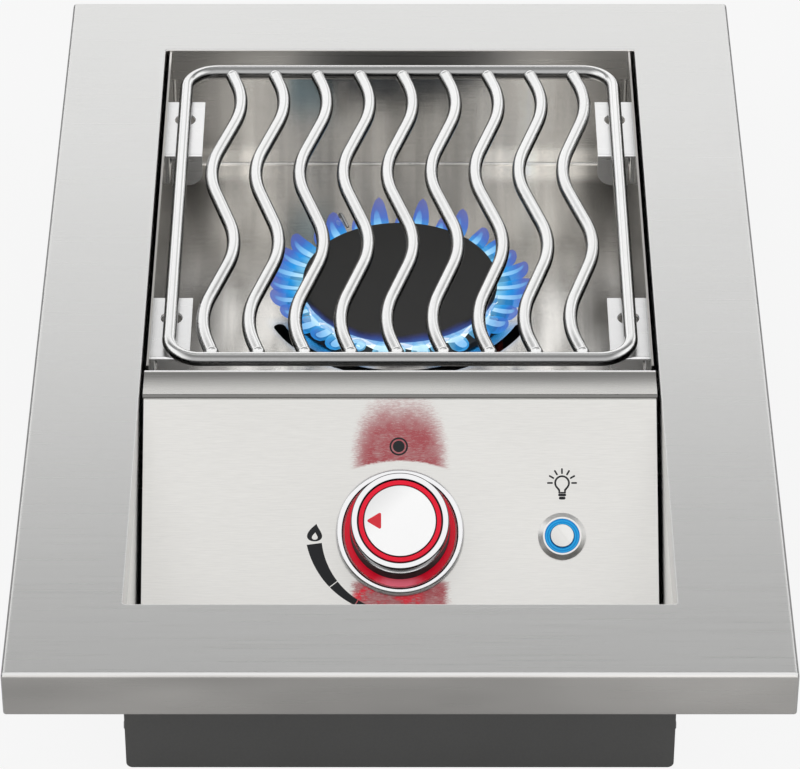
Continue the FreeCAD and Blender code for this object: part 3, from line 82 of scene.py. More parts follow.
KNOB_PLACE = Vector(joint_named("knob_turn")["pos_m"])
PANEL_NORMAL = Vector(joint_named("knob_turn")["axis"])
ACROSS = Vector((1, 0, 0))
FORWARD = Vector((0, -1, 0))
UPWARD = Vector((0, 0, 1))
UP_SLOPE = PANEL_NORMAL.cross(ACROSS)
BURNER_PLACE = middle_of("burner_cap")
BUTTON_PLACE = middle_of("button_cap")


def height_on_panel(node):
    """How far a node stands out from the panel's face."""
    mesh = frame["nodes"][node].data
    return max((vertex.co - KNOB_PLACE).dot(PANEL_NORMAL) for vertex in mesh.vertices)


def panel_matrix(height):
    """Turns a drawing about the knob's centre into its place on the sloping panel."""
    turned = Matrix((ACROSS, UP_SLOPE, PANEL_NORMAL)).transposed().to_4x4()
    return Matrix.Translation(KNOB_PLACE + PANEL_NORMAL * height) @ turned


# Node trees

class Link:
    """An output of a node tree, on which sums can be written."""

    def __init__(self, nodes, socket):
        self.nodes = nodes
        self.socket = socket

    def output(self, name):
        return Link(self.nodes, self.socket.node.outputs[name])

    def math(self, operation, *values):
        return self.nodes.math(operation, self, *values)

    def __add__(self, other):
        return self.nodes.math("ADD", self, other)

    def __radd__(self, other):
        return self.nodes.math("ADD", other, self)

    def __sub__(self, other):
        return self.nodes.math("SUBTRACT", self, other)

    def __rsub__(self, other):
        return self.nodes.math("SUBTRACT", other, self)

    def __mul__(self, other):
        return self.nodes.math("MULTIPLY", self, other)

    def __rmul__(self, other):
        return self.nodes.math("MULTIPLY", other, self)

    def __truediv__(self, other):
        return self.nodes.math("DIVIDE", self, other)

    def __rtruediv__(self, other):
        return self.nodes.math("DIVIDE", other, self)

    def __abs__(self):
        return self.nodes.math("ABSOLUTE", self)


class Nodes:
    """A node tree that is filled by writing what each node is and takes."""

    def __init__(self, tree):
        self.tree = tree
        self.tree.nodes.clear()

    def node(self, kind, settings=None, inputs=None, output=0):
        """Adds a node: its settings first, then the values or links of its sockets."""
        node = self.tree.nodes.new(kind)
        for name, value in (settings or {}).items():
            if name == "stops":
                set_stops(node.color_ramp, value)
            else:
                setattr(node, name, value)
        for name, value in (inputs or {}).items():
            if isinstance(value, Link):
                self.tree.links.new(value.socket, node.inputs[name])
            else:
                node.inputs[name].default_value = value
        return Link(self, node.outputs[output]) if len(node.outputs) else None

    def math(self, operation, *values):
        return self.node("ShaderNodeMath", {"operation": operation}, dict(enumerate(values)))

    def between(self, value, low, high):
        """0 below low, 1 above high, and smooth between; low may be the larger one."""
        settings = {"interpolation_type": "SMOOTHSTEP"}
        return self.node("ShaderNodeMapRange", settings, {0: value, 1: low, 2: high})

    def near(self, value, place, outer, inner):
        """1 within the inner distance of a place, 0 beyond the outer one, and smooth between."""
        return self.between(abs(value - place), outer, inner)

    def mix(self, share, first, second):
        """The first colour at a share of 0 and the second at 1."""
        return self.node("ShaderNodeMix", {"data_type": "RGBA"}, {0: share, 6: first, 7: second}, 2)

    def ramp(self, value, stops):
        return self.node("ShaderNodeValToRGB", {"stops": stops}, {0: value})

    def point(self):
        return self.node("ShaderNodeTexCoord", output="Object")

    def facing(self):
        """The X of the direction in which a face looks; its Y and Z are further outputs."""
        normal = self.node("ShaderNodeTexCoord", output="Normal")
        return self.node("ShaderNodeSeparateXYZ", None, {0: normal})

    def scaled(self, vector, scale):
        return self.node("ShaderNodeVectorMath", {"operation": "MULTIPLY"}, {0: vector, 1: scale})

    def along(self, direction, origin):
        """Distance of the point from an origin along a direction, in millimetres."""
        moved = self.node("ShaderNodeVectorMath", {"operation": "SUBTRACT"}, {0: self.point(), 1: origin})
        settings = {"operation": "DOT_PRODUCT"}
        return self.node("ShaderNodeVectorMath", settings, {0: moved, 1: direction}, "Value") / MM

    def noise(self, scale, detail=3.0, roughness=0.6):
        """Noise on the object's own coordinates; scale is in waves a metre, for all axes or each."""
        scale = scale if isinstance(scale, tuple) else (scale, scale, scale)
        inputs = {"Vector": self.scaled(self.point(), scale), "Scale": 1.0,
                  "Detail": detail, "Roughness": roughness}
        return self.node("ShaderNodeTexNoise", None, inputs, "Fac")

    def bump(self, height, depth):
        """The surface's direction where a height between 0 and 1 stands for a depth in metres."""
        return self.node("ShaderNodeBump", None, {"Height": height, "Distance": depth})


def set_stops(ramp, stops):
    while len(ramp.elements) < len(stops):
        ramp.elements.new(1.0)
    for element, (place, colour) in zip(ramp.elements, stops):
        element.position = place
        element.color = colour


class Finish(Nodes):
    """A new material."""

    def __init__(self, name):
        self.material = bpy.data.materials.new(name)
        self.material.use_nodes = True
        super().__init__(self.material.node_tree)

    def surface(self, inputs):
        """Ends the material in one Principled surface."""
        shader = self.node("ShaderNodeBsdfPrincipled", None, inputs)
        self.node("ShaderNodeOutputMaterial", None, {"Surface": shader})
        return self.material


def rgba(colour):
    return (*colour, 1.0)


def grey(value):
    return (value, value, value, 1.0)


def dress(slot, material):
    """Puts a material on every node of the frame that has this slot."""
    for node in frame["nodes"].values():
        for place in node.material_slots:
            if place.material and place.material.name.split(".")[0] == slot:
                place.material = material


def dress_node(node, material):
    for place in frame["nodes"][node].material_slots:
        place.material = material


# Steel finishes

# Waves a metre across the brushed lines
GRAIN_FINE = 2200.0
# How far a face looks sideways where its lines start to turn, and where they run along Y
SIDE_GRAIN = (0.6, 0.8)
# How far a face looks sideways where it starts to be a wall, and where it is one
SIDE_WALL = (0.6, 0.9)
# Blues of the flames' reflection, painted on the tray and the rods
PAINTED_FLAME_BLUE_FLOOR = (0.03, 0.33, 0.78, 1.0)
PAINTED_FLAME_TEAL_WALL = (0.06, 0.20, 0.27, 1.0)
PAINTED_FLAME_BLUE_ROD = (0.03, 0.24, 0.55, 1.0)
# Warm tone of the reflection painted on the trim's front lip
WARM_LIP_REFLECTION = (0.80, 0.772, 0.735, 1.0)
# Reds of the light that the knob's ring throws on the panel, painted into its colour
GREYISH_GLOW_RED = (0.40, 0.165, 0.17, 1.0)
DARKER_RED = (0.36, 0.062, 0.075, 1.0)
GLOWING_RED = (0.66, 0.012, 0.035, 1.0)


def grain_height(finish, waves):
    """Brushed lines along X, or along Y on faces that look sideways; waves a metre along them."""
    lines = finish.noise((waves, GRAIN_FINE, GRAIN_FINE), 2.0, 0.7)
    side_lines = finish.noise((GRAIN_FINE, waves, GRAIN_FINE), 2.0, 0.7)
    sideways = finish.between(abs(finish.facing()), *SIDE_GRAIN)
    return lines + sideways * (side_lines - lines)


def shaded(finish, colour, shade):
    return finish.node("ShaderNodeVectorMath", {"operation": "SCALE"}, {0: colour, "Scale": shade})


def distance(first, second):
    return (first * first + second * second).math("SQRT")


def on_panel(finish, origin):
    """How far the point lies from an origin, across the panel and up it."""
    return finish.along(ACROSS, origin), finish.along(UP_SLOPE, origin)


def brushed_steel(name, colour, roughness, lines, contrast, waves, painted_light=None):
    """Steel with brushed lines; contrast is how far they change its tone, and the last argument paints light
    and shade onto it.
    """
    finish = Finish(name)
    height = grain_height(finish, waves)
    cloud = finish.noise((6.0, 9.0, 9.0), 2.0, 0.5)
    shade = (height - 0.5) * contrast + (cloud - 0.5) * contrast * 0.7 + 1.0
    base = shaded(finish, colour, shade)
    if painted_light:
        base = painted_light(finish, base)
    return finish.surface({
        "Base Color": base,
        "Metallic": 1.0,
        "Roughness": roughness + (height - 0.5) * 0.16,
        "Normal": finish.bump(height, lines),
    })


def red_glow(finish, base):
    """The red light that the knob's ring throws on the panel above and below it, painted into the steel's
    colour and mottled by the grain.
    """
    # Millimetres from the knob's centre
    half_width, crown_foot, crown_height = 22.8, 36.0, 30.0
    arch_foot, arch_bend = (34.6, 35.9), 0.0081
    below_top, below_end, bright_right = (-22.5, -25.0), (-70.0, -38.0), (14.0, 6.0)
    across, up = on_panel(finish, KNOB_PLACE)
    streak = finish.noise((420.0, 2000.0, 2000.0), 4.0, 0.8)
    patch = finish.noise((120.0, 160.0, 160.0), 2.0, 0.6)
    ragged = streak - 0.5
    side = abs(across) / half_width
    crown = ((up - crown_foot) / crown_height).math("MAXIMUM", 0.0)
    rim = side.math("POWER", 3.4) + crown.math("POWER", 1.7) + ragged * 1.9
    foot = up + across * across * arch_bend + ragged * 2.4
    above = finish.between(rim, 1.24, 0.24) * finish.between(foot, *arch_foot)
    below = finish.between(side + ragged * 0.6, 1.06, 0.90) * finish.between(up, *below_top)
    below = below * finish.between(up + ragged * 12.0, *below_end)
    share = (above + below) * (0.80 + 0.24 * finish.between(streak, 0.30, 0.60))
    dim_glow = finish.mix(finish.between(patch + streak, 0.80, 1.16), GREYISH_GLOW_RED, DARKER_RED)
    bright = below * finish.between(patch + streak * 0.4, 0.68, 0.80) * finish.between(across, *bright_right)
    return finish.mix(share.math("MINIMUM", 0.96), base, finish.mix(bright, dim_glow, GLOWING_RED))


def tray_painted_light(finish, base):
    """Painted light and shade on the tray: darker side walls, upright streaks of painted reflection, darker
    sides, a bright floor beside the burner, brighter patches on the back wall, and the flames' blue painted
    as their reflection.
    """
    # Millimetres from the burner's centre: where each starts, and where it is whole
    wall_place, corner_place, wall_lamp_rise = (-100.0, -112.0), (84.0, 108.0), (24.0, 50.0)
    ring_radius, ring_front, ring_down, ring_aside = (76.0, 62.0), (18.0, 36.0), (0.0, -4.0), (10.0, 26.0)
    # Side walls painted darker as painted shade, with upright streaks of painted reflection
    sideways = finish.between(abs(finish.facing()), *SIDE_WALL)
    streak = finish.noise((75.0, 2.0, 2.0), 3.0, 0.55)
    broad = finish.noise((14.0, 3.0, 3.0), 2.0, 0.5)
    across = finish.along(ACROSS, BURNER_PLACE)
    out = finish.along(FORWARD, BURNER_PLACE)
    up = finish.along(UPWARD, BURNER_PLACE)
    aside = abs(across) + (streak - 0.5) * 50.0
    back_wall = finish.between(out, *wall_place)
    # Painted shade towards both sides, off the back wall
    corner_shade = finish.between(aside, *corner_place) * (1.0 - back_wall) * 0.42
    # Painted light on the floor beside the burner and in patches on the back wall
    floor_light = finish.near(aside, 74.0, 26.0, 8.0) * finish.between(out, -60.0, 20.0)
    top_light = finish.near(across, 8.0, 52.0, 14.0) * finish.between(up, *wall_lamp_rise)
    right_light = finish.near(across, 78.0, 46.0, 20.0)
    left_light = finish.near(across, -92.0, 30.0, 10.0)
    lights = floor_light * 0.5 + back_wall * (top_light * 0.6 + right_light * 0.6 + left_light * 0.45)
    tone = (0.30 + streak + broad * 0.46) * (1.0 - corner_shade) + lights
    toned = shaded(finish, base, (1.0 - sideways * 0.62) * tone)
    # The flames' blue painted as their reflection: on the floor in front of the burner, and teal on the back
    # wall
    ring = finish.between(distance(across, out), *ring_radius) * finish.between(out, *ring_front)
    ring = ring * finish.between(up, *ring_down) * finish.between(abs(across), *ring_aside)
    wall = finish.between(abs(across + 50.0) + (streak - 0.5) * 26.0, 20.0, 3.0)
    wall = wall * finish.between(up, 10.0, 40.0) * back_wall * 0.6
    tinted = finish.mix(ring, toned, PAINTED_FLAME_BLUE_FLOOR)
    return finish.mix(wall, tinted, PAINTED_FLAME_TEAL_WALL)


def trim_lip_painted_reflection(finish, base):
    """Painted reflection along the front lip, which mirrors what stands before it: broad soft tones, warmer,
    and brighter towards both ends.
    """
    lip = finish.between(finish.facing().output("Y"), -SIDE_WALL[0], -SIDE_WALL[1])
    broad = finish.noise((7.0, 1.0, 24.0), 2.0, 0.5)
    across = finish.along(ACROSS, KNOB_PLACE)
    shade = 0.80 + (broad - 0.5) * 0.9 + 0.26 * finish.between(across, 20.0, 150.0)
    shade = shade + 0.16 * finish.between(across, -60.0, -150.0)
    warm_reflection = finish.mix(lip * 0.7, base, WARM_LIP_REFLECTION)
    return shaded(finish, warm_reflection, 1.0 + lip * (shade - 1.0))


def crosspiece_painted_light(finish, base):
    """Painted light and shade on the crosspiece: dark behind a painted highlight on its back edge,
    brightening towards the panel, with painted shade in the fold at the front.
    """
    # Millimetres from its back edge
    painted_edge_highlight, painted_dark_band, front_fold = (2.6, 1.8), (2.0, 18.0), (19.6, 20.2)
    back_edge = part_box("crosspiece")[1].y
    forward = finish.along(FORWARD, Vector((0.0, back_edge, 0.0)))
    cloud = finish.noise((5.0, 30.0, 30.0), 2.0, 0.5)
    # A painted dark band behind the back edge, which brightens towards the panel, and a painted highlight on
    # the edge
    shade = 0.30 + 0.74 * finish.between(forward + (cloud - 0.5) * 8.0, *painted_dark_band)
    shade = shade + 1.1 * finish.between(forward, *painted_edge_highlight)
    # Painted shade in the fold at the front
    return shaded(finish, base, shade * (1.0 - 0.72 * finish.between(forward, *front_fold)))


def finish_steels(sizes):
    """For each: name, colour, roughness, depth of its lines in metres, contrast, waves along them, and the
    painted light and shade on it.
    """
    by_slot = {
        "trim_steel": ("trim_steel_brushed", sizes.trim_colour, 0.30, 0.000004, 0.06, 9.0, trim_lip_painted_reflection),
        "tray_steel": ("tray_steel_brushed", sizes.tray_colour, 0.17, 0.000032, 0.16, 40.0, tray_painted_light),
        "panel_steel": ("panel_steel_brushed", sizes.panel_colour, 0.32, 0.000010, 0.20, 110.0, red_glow),
        "bracket_steel": ("bracket_steel_white", sizes.bracket_colour, 0.30, 0.000003, 0.04, 30.0),
    }
    by_node = {
        "panel_cheeks": ("cheek_steel_bright", (0.95, 0.95, 0.94), 0.24, 0.000003, 0.04, 20.0),
        "crosspiece": ("crosspiece_steel_brushed", sizes.panel_colour, 0.26, 0.000004, 0.08, 12.0,
                       crosspiece_painted_light),
    }
    for slot, values in by_slot.items():
        dress(slot, brushed_steel(*values))
    for node, values in by_node.items():
        dress_node(node, brushed_steel(*values))


# Painted reflection and shade across the rods, from the side that faces left (0) to the one that faces right
# (1)
WAVY_ROD_PAINTED_REFLECTIONS = ((0.0, 0.10), (0.03, 0.55), (0.07, 0.92), (0.24, 1.0), (0.58, 1.0), (0.67, 0.70), (0.76, 1.0),
              (0.88, 0.95), (0.94, 0.28), (1.0, 0.04))
# Painted reflection and shade across the frame's cross rods, from the top and back (0) to the front and
# below (1)
FRAME_ROD_PAINTED_REFLECTIONS = ((0.0, 1.0), (0.08, 1.0), (0.15, 0.26), (0.36, 0.24), (0.48, 0.46), (0.60, 0.50), (0.74, 0.20),
               (1.0, 0.06))


def painted_rod_reflections(finish, bands, place):
    """The painted tone of the bands at a place between -1 and 1."""
    return finish.ramp(place * 0.5 + 0.5, [(stop, grey(value)) for stop, value in bands])


def satin_grate(name, colour, has_cross_bars):
    """Satin rod with painted reflection and shade in bands along it, by the way each face looks, and the
    flames' blue painted near the burner.
    """
    finish = Finish(name)
    speckle = finish.noise(900.0, 3.0, 0.7)
    cloud = finish.noise(30.0, 2.0, 0.5)
    facing = finish.facing()
    steep = facing.output("Z")
    tilt = (1.0 - steep * steep).math("MAXIMUM", 0.0).math("SQRT") * facing.math("SIGN")
    bands = painted_rod_reflections(finish, WAVY_ROD_PAINTED_REFLECTIONS, tilt + (speckle - 0.5) * 0.10)
    if has_cross_bars:
        lean = facing.output("Y") * -0.62 - steep * 0.78
        cross_bands = painted_rod_reflections(finish, FRAME_ROD_PAINTED_REFLECTIONS, lean + (speckle - 0.5) * 0.10)
        runs_across = finish.between(abs(facing), 0.45, 0.15)
        runs_across = runs_across * finish.between(abs(tilt), 0.2, 0.4)
        bands = finish.mix(runs_across, bands, cross_bands)
    shade = (1.0 + (speckle - 0.5) * 0.16 + (cloud - 0.5) * 0.08) * bands
    base = shaded(finish, colour, shade)
    across = finish.along(ACROSS, BURNER_PLACE)
    out = finish.along(FORWARD, BURNER_PLACE)
    # The flames' blue painted as their reflection on the rods' lower sides near the burner
    lit = finish.near(distance(across, out), 58.0, 20.0, 6.0) * finish.between(steep, 0.30, -0.1)
    return finish.surface({
        "Base Color": finish.mix(lit * 0.8, base, PAINTED_FLAME_BLUE_ROD),
        "Metallic": 1.0,
        "Roughness": 0.20 + (speckle - 0.5) * 0.12,
        "Normal": finish.bump(speckle, 0.000008),
    })


def turned_metal(name, colour, roughness, speckle_depth, contrast):
    """Plain machined, drawn or plated metal with a light unevenness."""
    finish = Finish(name)
    speckle = finish.noise(700.0, 3.0, 0.6)
    cloud = finish.noise(60.0, 2.0, 0.5)
    shade = 1.0 + (speckle - 0.5) * contrast + (cloud - 0.5) * contrast
    base = shaded(finish, colour, shade)
    return finish.surface({
        "Base Color": base,
        "Metallic": 1.0,
        "Roughness": roughness + (cloud - 0.5) * roughness * 0.5,
        "Normal": finish.bump(speckle, speckle_depth),
    })


CHROME = (0.90, 0.90, 0.91, 1.0)
# Painted shade and dark reflection on the knob's chrome
PAINTED_DARK_CHROME = (0.022, 0.023, 0.026, 1.0)


def shell_chrome():
    """Chrome of the knob's shell, with painted shade in its recess and a painted dark reflection on its side
    above the foot.
    """
    # Millimetres from the knob's axis, and out from the panel
    recess_edge, side_edge, side_foot = (20.55, 20.25), (22.75, 22.9), (24.0, 24.4)
    finish = Finish("knob_shell_chrome")
    out = finish.along(PANEL_NORMAL, KNOB_PLACE)
    radius = distance(*on_panel(finish, KNOB_PLACE))
    # Painted shade in the recess, and a painted dark reflection on the side above the foot
    recess = finish.between(radius, *recess_edge)
    side = finish.between(radius, *side_edge) * finish.between(out, *side_foot)
    cloud = finish.noise(60.0, 2.0, 0.5)
    dark = (recess + side).math("MINIMUM", 1.0)
    return finish.surface({
        "Base Color": finish.mix(dark, CHROME, PAINTED_DARK_CHROME),
        "Metallic": 1.0,
        "Roughness": 0.08 + (cloud - 0.5) * 0.04,
    })


def bezel_chrome():
    """Chrome of the bezel; its low side is painted a pale matte grey as a painted reflection, as pale as its
    top.
    """
    finish = Finish("knob_bezel_chrome")
    out = finish.along(PANEL_NORMAL, KNOB_PLACE)
    cloud = finish.noise(60.0, 2.0, 0.5)
    pale = finish.between(out, 3.0, 2.6)
    return finish.surface({
        "Base Color": finish.mix(pale, CHROME, grey(0.80)),
        "Metallic": 1.0 - pale * 0.8,
        "Roughness": 0.08 + pale * 0.3 + (cloud - 0.5) * 0.04,
    })


def spangled_zinc():
    """Galvanised sheet with its patches of zinc crystals."""
    finish = Finish("galvanised_spangle")
    inputs = {"Vector": finish.scaled(finish.point(), (160.0, 160.0, 160.0)), "Scale": 1.0}
    cells = finish.node("ShaderNodeTexVoronoi", None, inputs, "Color")
    level = finish.node("ShaderNodeSeparateColor", None, {0: cells})
    return finish.surface({
        "Base Color": finish.mix(level, (0.52, 0.54, 0.56, 1.0), (0.70, 0.72, 0.74, 1.0)),
        "Metallic": 1.0,
        "Roughness": 0.34 + level * 0.14,
    })


def finish_metals(sizes):
    """For each turned one: name, colour, roughness, depth of its speckle in metres, contrast."""
    turned = {
        "chrome": ("chrome_plate", (0.88, 0.88, 0.89), 0.07, 0.000001, 0.03),
        "button_steel": ("button_steel_turned", (0.88, 0.875, 0.86), 0.34, 0.000002, 0.06),
        "fastener_steel": ("fastener_steel_plain", (0.66, 0.66, 0.66), 0.30, 0.000004, 0.10),
        "tube_steel": ("tube_steel_drawn", (0.62, 0.62, 0.62), 0.33, 0.000004, 0.12),
        "spring_steel": ("spring_steel_drawn", (0.50, 0.50, 0.51), 0.30, 0.000003, 0.10),
        "brass": ("brass_machined", (0.74, 0.53, 0.24), 0.26, 0.000003, 0.12),
    }
    for slot, values in turned.items():
        dress(slot, turned_metal(*values))
    dress("grate_steel", satin_grate("grate_rod_satin", sizes.grate_colour, False))
    dress_node("grate_frame", satin_grate("grate_frame_satin", sizes.grate_colour, True))
    dress_node("knob_shell", shell_chrome())
    dress_node("knob_bezel", bezel_chrome())
    dress("galvanised", spangled_zinc())


# Painted, cast and moulded finishes

def grainy(name, colour, roughness, waves, depth, contrast, gloss=0.5):
    """A painted, cast or moulded surface with a grain all over."""
    finish = Finish(name)
    grain = finish.noise(waves, 4.0, 0.65)
    cloud = finish.noise(14.0, 2.0, 0.5)
    shade = 1.0 + (grain - 0.5) * contrast + (cloud - 0.5) * contrast * 0.6
    base = shaded(finish, colour, shade)
    return finish.surface({
        "Base Color": base,
        "Specular IOR Level": gloss,
        "Roughness": roughness + (grain - 0.5) * 0.15,
        "Normal": finish.bump(grain, depth),
    })


def lamp_board():
    """Circuit board with pale solder pads round it."""
    finish = Finish("lamp_board_green")
    across, up = on_panel(finish, KNOB_PLACE)
    pads = 24
    turn = (across.math("ARCTAN2", up) * (pads / math.tau)).math("FRACT")
    pad = finish.between(turn, 0.35, 0.45) * finish.between(turn, 0.75, 0.65)
    return finish.surface({
        "Base Color": finish.mix(pad, (0.02, 0.16, 0.06, 1.0), (0.55, 0.52, 0.44, 1.0)),
        "Roughness": 0.42 - pad * 0.12,
    })


def finish_plain_parts(sizes):
    """For each: name, colour, roughness, its grain's waves a metre and depth in metres, contrast, gloss."""
    grained = {
        "dark_casing": ("dark_casing_paint", sizes.casing_colour, 0.55, 900.0, 0.00003, 0.25),
        "black_enamel": ("black_enamel_matt", sizes.enamel_colour, 0.62, 1300.0, 0.00006, 0.45),
        "burner_alloy": ("burner_alloy_cast", (0.028, 0.028, 0.029), 0.50, 1100.0, 0.00006, 0.4),
        "black_plastic": ("black_plastic_moulded", (0.010, 0.010, 0.011), 0.50, 1600.0, 0.000008, 0.3, 0.1),
        "insulator": ("insulator_glazed", (0.82, 0.80, 0.75), 0.18, 500.0, 0.000004, 0.05),
        "silicone_lead": ("silicone_lead_red", (0.46, 0.07, 0.05), 0.45, 900.0, 0.00001, 0.12),
        "module_plastic": ("module_plastic_moulded", (0.035, 0.035, 0.038), 0.45, 1400.0, 0.00002, 0.3),
        "cable": ("cable_jacket", (0.03, 0.03, 0.032), 0.5, 1200.0, 0.00001, 0.2),
    }
    for slot, values in grained.items():
        dress(slot, grainy(*values))
    dress("lamp_board", lamp_board())


# Lit rings, the knob's face and the button's cap

def lit_surface(finish, colour, strength):
    """A coloured light behind a clear ring, with little gloss so that its colour stays full."""
    return finish.surface({
        "Base Color": colour,
        "Roughness": 0.22,
        "Specular IOR Level": 0.2,
        "Emission Color": colour,
        "Emission Strength": strength,
    })


def knob_ring(colour):
    finish = Finish("red_light_ring")
    flicker = finish.noise(260.0, 2.0, 0.5)
    return lit_surface(finish, shaded(finish, colour, 0.9 + flicker * 0.2), 0.25)


def bezel_ring(colour, bright):
    """Deep red at the sides, with a pale patch below the knob."""
    finish = Finish("red_light_bezel")
    across, up = on_panel(finish, KNOB_PLACE)
    flicker = finish.noise(260.0, 2.0, 0.5)
    share = finish.between(abs(across) + flicker * 6.0, 16.0, 9.0) * finish.between(up, -20.0, -25.0)
    deep = rgba([0.90 * part for part in colour])
    return lit_surface(finish, finish.mix(share, deep, rgba(bright)), 0.35)


def blue_ring(colour, bright):
    """The button's ring: faint brighter circles in a blue light."""
    finish = Finish("blue_light_ring")
    radians_a_millimetre = 5.2
    radius = distance(*on_panel(finish, BUTTON_PLACE))
    wave = (radius * radians_a_millimetre).math("SINE") * 0.5 + 0.5
    return lit_surface(finish, finish.mix(wave * wave * 0.6, rgba(colour), rgba(bright)), 0.3)


def knob_face():
    """White face disc, with painted shade that makes it a little greyer towards its upper left edge, and a
    dark rim of painted shadow.
    """
    finish = Finish("knob_face_white")
    across, up = on_panel(finish, KNOB_PLACE)
    # Painted shade towards the upper left
    share = finish.between(up - across, 4.0, 26.0)
    grain = finish.noise(800.0, 3.0, 0.6)
    # Painted shadow along the rim of the face
    rim = finish.between(distance(across, up), 16.75, 16.95)
    pale = (0.98 - share * 0.16 + (grain - 0.5) * 0.02) * (1.0 - 0.85 * rim)
    base = finish.node("ShaderNodeCombineXYZ", None, {0: pale, 1: pale, 2: pale})
    return finish.surface({
        "Base Color": base,
        "Metallic": 0.8,
        "Roughness": 0.30,
        "Normal": finish.bump(grain, 0.000002),
    })


def button_face():
    """Steel cap of the button, pale, with a painted sheen: lighter towards the upper right, with one faint
    slanting line.
    """
    finish = Finish("button_steel_sheen")
    across, up = on_panel(finish, BUTTON_PLACE)
    line = finish.near(across * 0.8 + up * 0.6, 0.6, 0.9, 0.2)
    share = finish.between(across + up * 0.6, -5.0, 4.0) - line * 0.3
    rings = finish.noise(1400.0, 2.0, 0.6)
    return finish.surface({
        "Base Color": finish.mix(share, (0.76, 0.75, 0.73, 1.0), (0.86, 0.85, 0.83, 1.0)),
        "Metallic": 1.0,
        "Roughness": 0.32 + (rings - 0.5) * 0.08,
        "Normal": finish.bump(rings, 0.000001),
    })


def finish_lights(sizes):
    dress("red_light", knob_ring(sizes.red_light))
    dress_node("bezel_light_ring", bezel_ring(sizes.red_light, sizes.red_light_bright))
    dress("blue_light", blue_ring(sizes.blue_light, sizes.blue_light_bright))
    dress("knob_face", knob_face())
    dress_node("button_cap", button_face())


# Pieces added to the frame

def new_object(name, data):
    made = bpy.data.objects.new(name, data)
    bpy.context.scene.collection.objects.link(made)
    return made


def add_piece(name, mesh, material, body):
    piece = new_object(name, mesh)
    mesh.materials.append(material)
    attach(piece, body)
    return piece


def ink_mesh(name, outlines, height, thickness):
    """A thin layer of ink; outlines are in millimetres about the knob, inner ones are left open."""
    curve = bpy.data.curves.new(name, "CURVE")
    curve.dimensions = "2D"
    curve.fill_mode = "BOTH"
    curve.extrude = thickness / 2
    for outline in outlines:
        spline = curve.splines.new("POLY")
        spline.points.add(len(outline) - 1)
        for point, (x, y) in zip(spline.points, outline):
            point.co = (x * MM, y * MM, 0.0, 1.0)
        spline.use_cyclic_u = True
    drawn = new_object(name + "_drawing", curve)
    bpy.context.view_layer.update()
    mesh = bpy.data.meshes.new_from_object(drawn)
    bpy.data.objects.remove(drawn)
    mesh.transform(panel_matrix(height + thickness / 2))
    mesh.name = name
    return mesh


def on_circle(x, y, radius, turn):
    return (x + radius * math.cos(turn), y + radius * math.sin(turn))


def circle(x, y, radius, steps=48):
    return [on_circle(x, y, radius, math.tau * i / steps) for i in range(steps)]


def teardrop(x, y, width, height, lean, steps=40):
    """A drop with its point upwards, which leans over to one side."""
    points = []
    for i in range(steps):
        turn = math.tau * i / steps
        rise = math.cos(turn)
        across = 0.5 * width * 1.3 * math.sin(turn) * math.sin(turn / 2) ** 1.4
        points.append((x + across + lean * max(rise, 0.0) ** 2, y + 0.5 * height * rise))
    return points


def arc_band(start, end, radius_at, width_at, steps=24):
    """A curved band about the knob's centre, between two angles in degrees."""
    outer, inner = [], []
    for i in range(steps + 1):
        angle = start + (end - start) * i / steps
        half = width_at(angle) / 2
        outer.append(on_circle(0, 0, radius_at(angle) + half, math.radians(angle)))
        inner.append(on_circle(0, 0, radius_at(angle) - half, math.radians(angle)))
    return outer + inner[::-1]


def bar(x, y, angle, near, far, width):
    """A straight bar with round ends on a ray from a centre."""
    points = []
    for centre, first in ((far, -90), (near, 90)):
        points += [on_circle(centre, 0, width / 2, math.radians(first + 30 * i)) for i in range(7)]
    cosine, sine = math.cos(math.radians(angle)), math.sin(math.radians(angle))
    return [(x + u * cosine - v * sine, y + u * sine + v * cosine) for u, v in points]


def pear(x, y, radius, neck, drop, steps=30):
    """The outline of a lamp bulb: a round top that narrows to its neck."""
    points = [on_circle(x, y, radius, math.radians(-48 + 276 * i / steps)) for i in range(steps + 1)]
    bend = y - drop * 0.75
    return points + [(x - neck, bend), (x - neck, y - drop), (x + neck, y - drop), (x + neck, bend)]


def ink_finish(colour):
    finish = Finish("panel_ink")
    grain = finish.noise(1500.0, 2.0, 0.6)
    base = finish.mix(grain, rgba(colour), rgba([1.25 * part for part in colour]))
    return finish.surface({
        "Base Color": base,
        "Specular IOR Level": 0.2,
        "Roughness": 0.5 + (grain - 0.5) * 0.2,
    })


def off_sign(sizes):
    y = sizes.off_sign_up / MM
    return [circle(-0.6, y, 4.45), circle(-0.6, y, 3.6), circle(-0.6, y, 2.85)]


def high_sign(sizes):
    x = -sizes.high_sign_out / MM
    return [teardrop(x, 0.1, 7.8, 8.6, 0.9), teardrop(x + 0.1, -1.6, 3.0, 3.6, 0.3)]


def level_arc():
    """A band that narrows from high to low, in three steps."""
    start, end = 187.5, 268.0
    radius, inwards = 41.4, 2.6
    thick, thin = 7.3, 0.5
    first_gap, second_gap = (217.9, 218.5), (238.2, 238.8)

    def radius_at(angle):
        return radius - inwards * (angle - start) / (end - start)

    def width_at(angle):
        return thick + (thin - thick) * (angle - start) / (end - start)

    breaks = [start, *first_gap, *second_gap, end]
    return [arc_band(first, last, radius_at, width_at) for first, last in zip(breaks[::2], breaks[1::2])]


